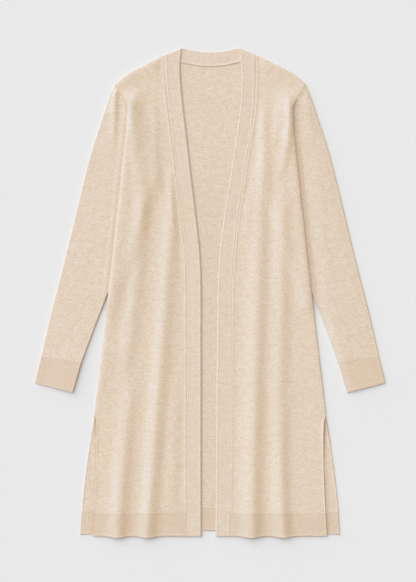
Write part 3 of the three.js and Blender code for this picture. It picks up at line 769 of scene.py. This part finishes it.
def panelSide(sideAt, down):
    part = np.clip(down / armholeLength, 0, 1)
    armX, armDrop = sleevePlan(0, lerp(1, sleeve["armholeShows"], part))
    drop = armDrop + np.maximum(down - armholeLength, 0)
    ease = 1 - smoothstep(drop, armholeEnd[1], armholeEnd[1] + body["armholeEase"])
    joined = sideAt(drop) + (armholeEnd[0] - sideAt(armholeEnd[1])) * ease
    return np.where(down < armholeLength, armX, joined), drop


def ridge(settings, distance, side=None):
    height = settings["height"][side] if side else settings["height"]
    return height * np.exp(-(((distance - settings["at"]) / settings["width"]) ** 2))


def seamGap(drop):
    apart, start, end = band["seamParts"]
    return apart * (1 - smoothstep(drop, start, end))


def seamStrength(drop):
    return lerp(1, band["seamFadesTo"], smoothstep(drop, *band["seamFades"]))


frontPanel = {
    "step": 2.6,
    "rowStep": 4.16,
    "nominalWidth": 190,
    "slopeDiesOut": 240,
    "slopeEase": 1.5,
    "seamBead": {"height": 0.65, "at": 2.4, "width": 1.3},
    "seamLevel": (0.65, 9),  # height and reach of the seam allowance under the edge beside the band
    "slitFrom": (-5, 5),  # from the top of the slit, as are the other ends
    "slitBead": {"height": 0.45, "at": 1.2, "width": 1.2},
    "slitRaise": {"height": {-1: 0.4, 1: 1.5}, "at": 0, "width": 5},
    "slitRaiseEnds": (15, 110),
    "slitStitch": 21,  # row of stitches this far inside each slit's edge
}


# Comes in between two lengths below the top of the slits
def belowSlitTop(drop, ends):
    return smoothstep(drop, slitDrop + ends[0], slitDrop + ends[1])


def shoulderBow(across):
    x = lerp(bandX, tipX, across)
    straight = lerp(bandDrop, tipDrop, across)
    return shoulderLine(x) - straight


def makeFront(side, name):
    length = armholeLength + hemTop - armholeEnd[1]
    down = distances(length, frontPanel["rowStep"])[:, None]
    outerX, outerDrop = panelSide(lambda drop: frontSide(side, drop), down)
    level = np.clip(1 - (outerDrop - tipDrop) / frontPanel["slopeDiesOut"], 0, 1)
    drift = (tipDrop - bandDrop) * level ** frontPanel["slopeEase"]
    innerDrop = outerDrop - drift
    innerX = bandSeam(side, innerDrop)
    width = np.hypot(outerX - innerX, outerDrop - innerDrop)
    across, inset, outset = acrossStrip(frontPanel["nominalWidth"], frontPanel["step"], width)
    x = side * lerp(innerX, outerX, across)
    bow = shoulderBow(across) * np.clip(1 - down / armholeLength, 0, 1)
    drop = lerp(innerDrop, outerDrop, across) + bow
    sideEdge = np.where(down < armholeLength, seamShare(outset), rimShare(outset))
    thick = least(seamShare(inset), sideEdge, rimShare(down), seamShare(length - down))
    slit = belowSlitTop(drop, frontPanel["slitFrom"])
    lift = ridge(frontPanel["seamBead"], inset - seamGap(drop)) * seamStrength(drop)
    lift = near(frontPanel["seamLevel"], inset) + lift
    nearTop = slit * (1 - belowSlitTop(drop, frontPanel["slitRaiseEnds"]))
    lift = lift + ridge(frontPanel["slitBead"], outset) * slit
    lift = lift + ridge(frontPanel["slitRaise"], outset, side) * nearTop
    lift = lift + creaseHeight(frontCreases, side, x, drop)
    settled = smoothstep(np.minimum(inset, outset), *lie["ripple"]["starts"])
    lift = lift + ripple(lie["ripple"], side, x, drop) * settled
    return panelMesh(name, x, drop, frontLow(side, x, drop), thick, lift)


backPanel = {
    "rowStep": 5,
    "step": 2,  # where it shows, between the fronts and beside them
    "hiddenStep": 5,
    "openHalf": 66,
    "nominalHalf": 190,
    "sideShows": 32,
    "troughSlant": 0.04,
    "troughHidden": 0.5,  # share of its troughs that its upper face does not follow
    "slitFrom": (-3, 5),
    "slitBead": {"height": 0.4, "at": 1.2, "width": 0.9},
    "slitLip": {"height": {-1: 0.6, 1: 2.2}, "at": 2.4, "width": 1.6},
    "slitLipEnds": (10, 70),
    "slitStitch": 7,
}


# What stands up along the back's own side edges below the top of the slits
def slitEdge(across, distance, drop):
    right, left = (ridge(backPanel["slitLip"], distance, side) for side in (-1, 1))
    lip = np.where(across < 0, right, left) * (1 - belowSlitTop(drop, backPanel["slitLipEnds"]))
    return (ridge(backPanel["slitBead"], distance) + lip) * belowSlitTop(drop, backPanel["slitFrom"])


# Shallow troughs in the underside, which rests on the surface between them
def backUnderside(x, drop):
    low = 0 * x + 0 * drop
    for troughX, troughDrop, width, length, height in backTroughs:
        sway = troughX + backPanel["troughSlant"] * (drop - troughDrop)
        low = low + height * np.exp(-(((x - sway) / width) ** 2) - ((drop - troughDrop) / length) ** 2)
    return low


# Columns of the back: close together in its middle and along its sides, as shares and offsets
def backColumns():
    step, shows, half = backPanel["step"], backPanel["sideShows"], backPanel["openHalf"]
    side = list(grid["edge"]) + list(np.arange(grid["edge"][-1] + step, shows, step))
    hidden = int((backPanel["nominalHalf"] - shows - half) / backPanel["hiddenStep"])
    between = [i / hidden for i in range(hidden)]
    middle = list(np.arange(-half, half + step / 2, step))
    share = [0] * len(side) + [0.5 * t for t in between]
    offset = side + [lerp(shows, -half, t) for t in between]
    share += [0.5] * len(middle) + [1 - s for s in reversed(share)]
    offset += middle + [-d for d in reversed(offset)]
    return np.array(share, float), np.array(offset, float)


def makeBack(name):
    bottom = body["backHemSide"] - hemRib
    length = armholeLength + bottom - armholeEnd[1]
    down = distances(length, backPanel["rowStep"])[:, None]
    edgeX, edgeDrop = panelSide(backSide, down)
    fall = (edgeDrop - tipDrop) / (bottom - tipDrop)
    share, offset = backColumns()
    across = (2 * share[None, :] - 1) + offset[None, :] / edgeX
    distance = np.minimum(share * 2 * edgeX + offset, (1 - share) * 2 * edgeX - offset)
    half = np.abs(across)
    x = half * tipX
    top = np.where(x < band["neckHalf"], backNeckSeam(x), shoulderLine(x))
    hem = bottom - (body["backHemSide"] - body["backHemCentre"]) * (1 - half**2)
    drop = lerp(top, hem, fall)
    thick = least(rimShare(distance), rimShare(down), seamShare(length - down))
    x = across * edgeX
    low = backUnderside(x, drop)
    lift = slitEdge(across, distance, drop) - backPanel["troughHidden"] * low
    piece = panelMesh(name, x, drop, low, thick, lift)
    # Painted shade on the back, carried as a point attribute.
    setColumn(piece, "paintedShade", paintedShadeOnBack(x, drop))
    return piece


# Sections of the band: its free edge, its seam and which way its face looks
def bandSections():
    slope = bandDrop / (bandX - bandEdge[1](0))
    radius, halfWall = band["freeLow"] / 2, band["wall"] / 2
    middle = radius + halfWall
    bulge = math.hypot(1, slope)
    sections = []

    def add(side, freeX, freeDrop, seamX, seamDrop, freeZ, seamZ, face):
        free = Vector((side * freeX, neckY - freeDrop, freeZ))
        seam = Vector((side * seamX, neckY - seamDrop, seamZ))
        sections.append((free, seam, Vector(face), max(freeDrop, 0)))

    def downFront(side):
        first = bandDrop + band["startsBelow"]
        count = int((body["hemDrop"] - first) / band["step"])
        drops = [lerp(first, body["hemDrop"], i / count) for i in range(count)]
        for drop in drops + [body["hemDrop"] - rest for rest in band["footRows"]]:
            level = min(max(1 - (drop - bandDrop) / band["slopeDiesOut"], 0), 1)
            freeDrop = drop - bandDrop * level**frontPanel["slopeEase"]
            low = lerp(band["freeLow"], restHeight(drop), smoothstep(drop, *band["settles"]))
            z, seamZ = band["freeLow"] + halfWall, low + halfWall
            add(side, bandEdge[side](freeDrop), freeDrop, bandSeam(side, drop), drop, z, seamZ, (0, 0, 1))

    def overShoulder(side):
        freeDrop = middle * bulge
        for i in range(band["turnSteps"] + 1):
            angle = math.pi * i / band["turnSteps"]
            face = (0, math.sin(angle) * bulge, math.cos(angle))
            shift = radius * face[1]
            z = middle + radius * face[2]
            seamDrop = bandDrop + freeDrop
            seamX = bandSeam(side, seamDrop)
            add(side, bandEdge[side](0), freeDrop - shift, seamX, seamDrop - shift, z, z, face)

    def roundNeck():
        for i in range(1, band["neckSteps"]):
            share = 2 * i / band["neckSteps"] - 1
            side = 1 if share > 0 else -1
            seamX = abs(share) * bandX
            freeX, freeDrop = abs(share) * bandEdge[side](0), band["neckFreeDrop"] * (1 - share**2)
            add(side, freeX, freeDrop, seamX, backNeckSeam(seamX), halfWall, halfWall, (0, 0, -1))

    downFront(-1)
    sections.reverse()
    overShoulder(-1)
    roundNeck()
    turned = len(sections)
    overShoulder(1)
    sections[turned:] = reversed(sections[turned:])
    downFront(1)
    return sections


def makeBand(name):
    wall = band["wall"]
    sections = bandSections()
    free, seam, face = (np.array([list(section[i]) for section in sections]) for i in range(3))
    drop = np.array([section[3] for section in sections])[:, None]
    middleLine = (free + seam) / 2
    run = np.concatenate([[0], np.cumsum(np.linalg.norm(np.diff(middleLine, axis=0), axis=1))])[:, None]
    width = np.linalg.norm(seam - free, axis=1)[:, None]
    across, inset, outset = acrossStrip(band["width"], band["acrossStep"], width)
    ends = np.minimum(run, run[-1] - run)
    thick = least(rimShare(inset, wall), seamShare(outset), rimShare(ends, wall))
    high, low, more = band["thinnerAbove"]
    thinner = 1 + more * (1 - smoothstep(drop, high, low))
    lift = ridge(band["bead"], inset) + ridge(band["freeEdge"], inset) * thinner
    lift = lift + ridge(band["seamBead"], outset - seamGap(drop)) * seamStrength(drop)
    roundNeck = np.isclose(face[:, 2:3], -1)
    under = np.where(roundNeck, ridge(band["neckBead"], outset), 0)
    middle = free[:, None, :] + (seam - free)[:, None, :] * across[..., None]
    normal = face[:, None, :]
    upper = middle + normal * (thick * (wall / 2 + np.where(roundNeck, 0, lift)))[..., None]
    lower = middle - normal * (thick * (wall / 2 + under))[..., None]
    uv = np.stack([inset, run + 0 * across], axis=-1)
    return shellMesh(name, upper, lower, uv)


def sleeveLow(x, drop):
    overBack = 1 - smoothstep(x - sideSeam(drop), *sleeve["stepDown"])
    return body["layer"] * overBack * smoothstep(drop, *sleeve["armholeRise"])


def clearOfFront(side, x, drop):
    return smoothstep(x - sideSeam(drop), *sleeve["besideFront"][side])


def sleeveLoft(side, x, drop):
    clearOfShoulder = smoothstep(drop, tipDrop, tipDrop + sleeve["belowShoulder"])
    loft = lerp(sleeve["loft"][side], cuff["loft"][side], smoothstep(drop, *cuff["blend"]))
    return loft * clearOfShoulder * clearOfFront(side, x, drop)


# Points round a flattened tube, over its top and back below: which are on top, and how far across it
def ringStations(half):
    k = np.arange(2 * half)
    onTop = k <= half
    return onTop, (1 - np.cos(np.pi * np.where(onTop, k, 2 * half - k) / half)) / 2


# Rings round a flattened tube at one inset into its wall, with the distance round and along at each point.
# The tube is folded flat at its two edges, and stands a little open between them.
def tubeRings(side, half, planAt, along, inset, rippled):
    onTop, station = ringStations(half)
    at = along[:, None]
    startX, startDrop = planAt(at, 0 * at)
    endX, endDrop = planAt(at, 0 * at + 1)
    width = np.hypot(endX - startX, endDrop - startDrop)
    narrowing = inset / width
    share = lerp(narrowing, 1 - narrowing, station[None, :])
    x, drop = planAt(at, share)
    radius = sleeve["flat"] / 2
    edge = np.minimum(share, 1 - share) * width
    closing = np.where(np.minimum(station, 1 - station) <= 0, 0, rimShare(edge - inset, 2 * radius))
    tilt = lerp(sleeve["tilt"][side], cuff["tilt"][side], smoothstep(drop, *cuff["blend"]))
    tilted = lerp(1 + tilt, 1 - tilt, share)
    fromInner, fromOuter = sleeve["opens"][side]
    opened = smoothstep(share * width, 0, fromInner) * smoothstep((1 - share) * width, 0, fromOuter)
    rise = sleeveLoft(side, x, drop) * opened * tilted
    if rippled:
        free = clearOfFront(side, x, drop)
        folds = foldsAt(sleeveFolds, side, side * x, drop) * smoothstep(edge, 0, sleeve["foldsFrom"])
        waves = ripple(sleeve["ripple"], side, x, drop) * smoothstep(edge, *sleeve["ripple"]["starts"])
        headHeight, headLength = sleeve["head"][side]
        beyondFront = smoothstep(share, *sleeve["headFrom"])
        rise = rise + (folds + waves) * free + headHeight * np.exp(-at / headLength) * beyondFront
    reach = (radius - inset) * closing
    z = sleeveLow(x, drop) + radius + np.where(onTop, reach + rise * closing, -reach)
    around = width * np.where(onTop, station, 2 - station)
    return placed(side * x, drop, z), around, drop


def tubeMesh(name, outer, inner, around, run):
    rings, count = outer.shape[:2]
    index = np.arange(rings * count).reshape(rings, count)
    wrapped = np.concatenate([index, index[:, :1]], axis=1)
    low = wrapped + rings * count
    first, last = (gridFaces(np.stack([wrapped[row], low[row]])) for row in (0, -1))
    faces = np.concatenate([gridFaces(wrapped), gridFaces(low)[:, ::-1], first[:, ::-1], last])
    points = np.concatenate([outer.reshape(-1, 3), inner.reshape(-1, 3)])
    uv = np.stack([around, run], axis=-1).reshape(-1, 2)
    return meshFrom(name, points, faces, np.concatenate([uv, uv]))


# The shell of a tube between its outer and inner rings, thinner where ends says so, and its outer points
def tubeShell(side, name, half, planAt, along, ends, rippled):
    outer, around, run = tubeRings(side, half, planAt, along, 0, rippled)
    inner = tubeRings(side, half, planAt, along, body["wall"], rippled)[0]
    middle = (outer + inner) / 2
    reach = (outer - inner) / 2 * np.maximum(ends, rims["tubeEnd"])[:, None, None]
    return tubeMesh(name, middle + reach, middle - reach, around, run), side * outer[..., 0], run


def makeSleeve(side, name):
    length = sleeve["length"]
    down = distances(length, sleeve["step"])
    ends = least(seamShare(down), seamShare(length - down))
    along = down / length * lastRow
    piece, x, drop = tubeShell(side, name, sleeve["halfPoints"], sleevePlan, along, ends, True)
    # Painted shade on the sleeve, beside the front's side edge and along the armhole seam.
    deep = near(paintedShade["sideEdge"][side], x - sideSeam(drop)) * within(drop, *paintedShade["sideShows"])
    setColumn(piece, "paintedShade", np.maximum(deep, near(paintedShade["armhole"][side], down[:, None]) + 0 * x))
    return piece


def cuffPlan(at, across):
    inner = [lerp(start, end, at) for start, end in zip(sleevePlan(lastRow, 0), cuff["innerEnd"])]
    outer = [lerp(start, end, at) for start, end in zip(sleevePlan(lastRow, 1), cuff["outerEnd"])]
    return [lerp(fromInner, toOuter, across) for fromInner, toOuter in zip(inner, outer)]


def ribCount(width):
    return round(width / rib["pitch"])


def makeCuff(side, name):
    ribs = ribCount(math.dist(cuff["innerEnd"], cuff["outerEnd"]))
    length = cuff["length"]
    down = distances(length, cuff["step"])
    ends = least(seamShare(down), rimShare(length - down))
    half = ribs * cuff["ribPoints"]
    piece = tubeShell(side, name, half, cuffPlan, down / length, ends, False)[0]
    onTop, station = ringStations(half)
    strength = smoothstep(np.minimum(station, 1 - station), *cuff["ribsFrom"]) * onTop
    strength = strength[None, :] * hemRibs(down, length)[:, None]
    return ribbed(piece, station[None, :] + 0 * down[:, None], strength, ribs)


def hemRows():
    down = distances(hemRib, rib["step"])[:, None]
    return down, least(seamShare(down), rimShare(hemRib - down))


# How far the ribs stand up down a hem or cuff
def hemRibs(down, length=hemRib):
    return smoothstep(down, *rib["starts"]) * smoothstep(length - down, *rib["ends"])


def makeFrontHem(side, name):
    width = body["frontHemHalf"] - bandSeam(side, body["hemDrop"])
    ribs = ribCount(width)
    across = np.linspace(0, 1, ribs * rib["points"] + 1)[None, :]
    down, thick = hemRows()
    level = hemTop + down
    x = side * lerp(bandSeam(side, level), frontSide(side, level), across)
    crest = np.minimum(foldsAt(frontFolds, side, x, body["hemDrop"] + 0 * x) / body["hemFold"], 1)
    drop = level + down / hemRib * body["hemSag"] * crest
    outset = (1 - across) * width
    thick = least(thick, seamShare(across * width), rimShare(outset))
    lift = ridge(frontPanel["slitBead"], outset) + ridge(rib["endBead"], hemRib - down)
    piece = panelMesh(name, x, drop, frontLow(side, x, level + 0 * x), thick, lift)
    return ribbed(piece, across + 0 * down, hemRibs(down) * thick, ribs)


def makeBackHem(name):
    ribs = ribCount(2 * body["backHemHalf"])
    across = np.linspace(-1, 1, ribs * rib["points"] + 1)[None, :]
    down, thick = hemRows()
    drop = backHemSeam(across * body["backHemHalf"]) + down
    edge = (1 - np.abs(across)) * body["backHemHalf"]
    thick = np.minimum(thick, rimShare(edge))
    x = across * backSide(drop)
    lift = ridge(rib["endBead"], hemRib - down)
    piece = panelMesh(name, x, drop, 0 * drop, thick, lift)
    # Painted shade on the back hem, as on the back.
    setColumn(piece, "paintedShade", paintedShadeOnBack(x, drop))
    return ribbed(piece, across / 2 + 0 * down, hemRibs(down) * thick, ribs)


print("starting pieces")
sides = {"left": 1, "right": -1}
pieces = {"front_band": makeBand("bandStrip"), "back": makeBack("backPanel")}
pieces["hem_back"] = makeBackHem("backHem")
for word, side in sides.items():
    pieces[f"front_{word}"] = makeFront(side, f"frontPanel_{word}")
    pieces[f"hem_front_{word}"] = makeFrontHem(side, f"frontHem_{word}")
    pieces[f"sleeve_{word}"] = makeSleeve(side, f"sleeveTube_{word}")
    pieces[f"cuff_{word}"] = makeCuff(side, f"cuffTube_{word}")
print("pieces made")

stitch = {
    "spacing": 2.7,
    "length": 2.3,
    "width": 0.75,
    "unevenness": 0.18,
    "around": ((-1, 0), (1, 0), (0, -1), (0, 1), (0, 0)),  # where the cloth's height is taken beside one
    "leg": {"Segments": 6, "Rings": 4, "Radius": 0.5},
    "sink": 0.12,  # how far its middle lies below the cloth's surface
    "straddle": 0.7,  # a seam's stitches bridge its groove, as high as the cloth this far beside it
    "plotStep": 2.5,
    "seed": 7,
}


# Geometry Nodes: stitches at even steps along lines, each a small rounded leg of yarn.
def stitchTree():
    floats = ("Stitch Spacing", "Stitch Length", "Stitch Width", "Unevenness")
    tree, start = startTree("seamStitches", {**{name: "Float" for name in floats}, "Seed": "Int"})
    line = added(tree, "GeometryNodeMeshToCurve", {"Mesh": start["Geometry"]})["Curve"]
    steps = tree.nodes.new("GeometryNodeResampleCurve")
    steps.mode = "LENGTH"
    points = fill(tree, steps, {"Curve": line, "Length": start["Stitch Spacing"]})["Curve"]
    leg = added(tree, "GeometryNodeMeshUVSphere", stitch["leg"])["Mesh"]
    width = start["Stitch Width"]
    size = added(tree, "ShaderNodeCombineXYZ", {"X": width, "Y": start["Stitch Length"], "Z": width})
    shaped = added(tree, "GeometryNodeTransform", {"Geometry": leg, "Scale": size["Vector"]})["Geometry"]
    smooth = added(tree, "GeometryNodeSetShadeSmooth", {"Geometry": shaped})["Geometry"]
    turn = tree.nodes.new("FunctionNodeAlignRotationToVector")
    turn.axis = "Y"
    tangent = tree.nodes.new("GeometryNodeInputTangent").outputs["Tangent"]
    turned = fill(tree, turn, {"Vector": tangent})["Rotation"]
    vary = tree.nodes.new("FunctionNodeRandomValue")
    vary.data_type = "FLOAT"
    low = maths(tree, "SUBTRACT", 1, start["Unevenness"])
    high = maths(tree, "ADD", 1, start["Unevenness"])
    uneven = fill(tree, vary, {2: low, 3: high, "Seed": start["Seed"]})[1]
    legs = {"Points": points, "Instance": smooth, "Rotation": turned, "Scale": uneven}
    sewn = added(tree, "GeometryNodeInstanceOnPoints", legs)["Instances"]
    return endTree(tree, sewn, start["Material"])


yarnStitches = stitchTree()


def clothSurface():
    points, faces = [], []
    for piece in pieces.values():
        first = len(points)
        points += [vertex.co.copy() for vertex in piece.data.vertices]
        faces += [[first + i for i in polygon.vertices] for polygon in piece.data.polygons]
    return BVHTree.FromPolygons(points, faces)


laidCloth = clothSurface()


def clothHeight(x, drop):
    hit = laidCloth.ray_cast(Vector((x * mm, (neckY - drop) * mm, 0.1)), Vector((0, 0, -1)))[0]
    return hit.z if hit else None


# Rows of stitches along lines given in plan, laid on the cloth below them
def stitchRows(name, lines, seed):
    points, edges = [], []
    for line in lines:
        last = None
        for x, drop in line:
            beside = [(dx * stitch["straddle"], dy * stitch["straddle"]) for dx, dy in stitch["around"]]
            heights = [clothHeight(x + dx, drop + dy) for dx, dy in beside]
            heights = sorted(height for height in heights if height is not None)
            if heights:
                middle = heights[len(heights) // 2]
                points.append((x * mm, (neckY - drop) * mm, middle - stitch["sink"] * mm))
                if last is not None:
                    edges.append((last, len(points) - 1))
                last = len(points) - 1
    mesh = bpy.data.meshes.new(name)
    mesh.from_pydata(points, edges, [])
    sizes = {f"Stitch {part.title()}": stitch[part] * mm for part in ("spacing", "length", "width")}
    others = {"Unevenness": stitch["unevenness"], "Seed": seed, "Material": seamYarn}
    return grown(addObject(name, mesh), yarnStitches, {**sizes, **others})


def plotted(curve, low, high, step=stitch["plotStep"]):
    count = max(int(abs(high - low) / step), 2)
    return [tuple(float(v) for v in curve(lerp(low, high, i / count))) for i in range(count + 1)]


def plottedDown(side, halfWidth, ends):
    return plotted(lambda drop: (side * halfWidth(drop), drop), *ends)


def plottedAcross(side, dropAt, ends):
    return plotted(lambda x: (side * x, dropAt(x)), *ends)


def plottedOnSleeve(side, at, ends):
    return plotted(lambda t: (side * sleevePlan(at, t)[0], sleevePlan(at, t)[1]), *ends)


# Where the rows of stitches start and end: drops, lengths from the middle, and shares across a sleeve
# with their step
rowEnds = {
    "bandSeam": (17, 999),
    "neckSeam": (-58, 60),
    "neckSeamBelow": 0.6,
    "backHemMiddle": (-16, 9),
    "backHemSide": (242, 258),
    "backSlit": (860, 990),
    "frontSlit": (768, 996),
    "frontHemInset": 2,
    "armhole": (0.76, 0.985, 0.01),
    "cuffSeam": (0.05, 0.95, 0.03),
}


def neckStitches(x):
    return backNeckSeam(x) + rowEnds["neckSeamBelow"]


bandLines = []
backLines = [plottedAcross(1, backHemSeam, rowEnds["backHemMiddle"])]
for side in (-1, 1):
    bandLines.append(plottedDown(side, lambda drop: bandSeam(side, drop), rowEnds["bandSeam"]))
    slitRow = plottedDown(side, lambda drop: backSide(drop) - backPanel["slitStitch"], rowEnds["backSlit"])
    backLines += [slitRow, plottedAcross(side, backHemSeam, rowEnds["backHemSide"])]
bandLines.append(plottedAcross(1, neckStitches, rowEnds["neckSeam"]))
rowsOf = {"front_band": ("bandStitches", bandLines), "back": ("backStitches", backLines)}
for word, side in sides.items():
    inside = frontPanel["slitStitch"]
    slitRow = plottedDown(side, lambda drop: frontSide(side, drop) - inside, rowEnds["frontSlit"])
    inner, outer = float(bandSeam(side, hemTop)), float(frontSide(side, hemTop))
    hemEnds = (inner + rowEnds["frontHemInset"], outer - rowEnds["frontHemInset"])
    hemRow = plottedAcross(side, lambda x: hemTop, hemEnds)
    rowsOf[f"front_{word}"] = (f"frontStitches_{word}", [slitRow, hemRow])
    armRow = plottedOnSleeve(side, 0, rowEnds["armhole"])
    cuffRow = plottedOnSleeve(side, lastRow, rowEnds["cuffSeam"])
    rowsOf[f"sleeve_{word}"] = (f"sleeveStitches_{word}", [armRow, cuffRow])
stitches = {}
for seed, (node, (name, lines)) in enumerate(rowsOf.items(), stitch["seed"]):
    stitches[node] = stitchRows(name, lines, seed)
print("stitches made")

slotOf = {"band": "band", "hem": "rib", "cuff": "rib"}  # all others are jersey
for node, piece in pieces.items():
    slot = next((slot for part, slot in slotOf.items() if part in node), "jersey")
    if not piece.data.materials:
        piece.data.materials.append(knits[slot])
    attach(piece, "root")
    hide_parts(node)
    if node in stitches:
        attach(stitches[node], "root")

# What shows of each piece's cut, all round on the tubes: width, length, area where it isn't a rectangle,
# and the pieces that it rests on
cuts = {
    "back": (0.53, 0.92, 0.38, []),
    "hem_back": (0.53, 0.047, None, []),
    "front_left": (0.205, 0.94, 0.142, ["back", "sleeve_left"]),
    "front_right": (0.20, 0.94, 0.14, ["back", "sleeve_right"]),
    "hem_front_left": (0.205, 0.048, None, ["hem_back"]),
    "hem_front_right": (0.20, 0.048, None, ["hem_back"]),
    "front_band": (0.031, 2.19, None, ["back"]),
    "sleeve_left": (0.41, 0.56, 0.111, ["back"]),
    "sleeve_right": (0.41, 0.56, 0.111, ["back"]),
    "cuff_left": (0.166, 0.06, None, []),
    "cuff_right": (0.166, 0.06, None, []),
}
for node, (width, length, area, below) in cuts.items():
    rests = [pieces[other].name for other in below]

stage = {"colour": (0.811, 0.808, 0.808), "roughness": 0.9, "size": 8, "level": -0.0006}
bpy.ops.mesh.primitive_plane_add(size=stage["size"], location=(0, 0, 0))
floor = bpy.context.object
floor.name = "floor"
floor.location.z = stage["level"]
floor.data.materials.append(plainMaterial("paleFloor", stage["colour"], stage["roughness"]))

view = {
    "distance": 4.0,
    "width": 853 * mm,
    "centre": (-4.1 * mm, 4.05 * mm),
    "pixels": (416, 582),
    "sensor": 36,
    "clipEnd": 100,
}
cameraData = bpy.data.cameras.new("camera")
camera = addObject("camera", cameraData)
camera.location = (*view["centre"], view["distance"])
cameraData.sensor_width = view["sensor"]
height = view["width"] * view["pixels"][1] / view["pixels"][0]
cameraData.lens = view["sensor"] * view["distance"] / height
cameraData.clip_end = view["clipEnd"]
bpy.context.scene.camera = camera

# A wide window to the upper left and a large soft box overhead
light = {
    "azimuth": 140,
    "window": {"energy": 2.52, "spread": 76, "elevation": 35, "colour": (0.99, 0.987, 0.985)},
    "softBox": {"energy": 0.99, "spread": 50, "elevation": 78, "colour": (0.99, 0.99, 0.99)},
    "sky": 0.25,
    "skyColour": (0.975, 0.985, 1.0),
}


def addLight(name, setting):
    data = bpy.data.lights.new(name, "SUN")
    data.energy = setting["energy"]
    data.angle = math.radians(setting["spread"])
    data.color = setting["colour"]
    lamp = addObject(name, data)
    azimuth, elevation = math.radians(light["azimuth"]), math.radians(setting["elevation"])
    level = math.cos(elevation)
    toward = Vector((math.cos(azimuth) * level, math.sin(azimuth) * level, math.sin(elevation)))
    lamp.rotation_euler = toward.to_track_quat("Z", "Y").to_euler()


for name in ("window", "softBox"):
    addLight(name, light[name])
world = bpy.data.worlds.new("softSky")
world.use_nodes = True
sky = {"Color": (*light["skyColour"], 1), "Strength": light["sky"]}
fill(world.node_tree, world.node_tree.nodes["Background"], sky)
bpy.context.scene.world = world
bpy.context.scene.view_settings.view_transform = "Standard"
print("stage set")
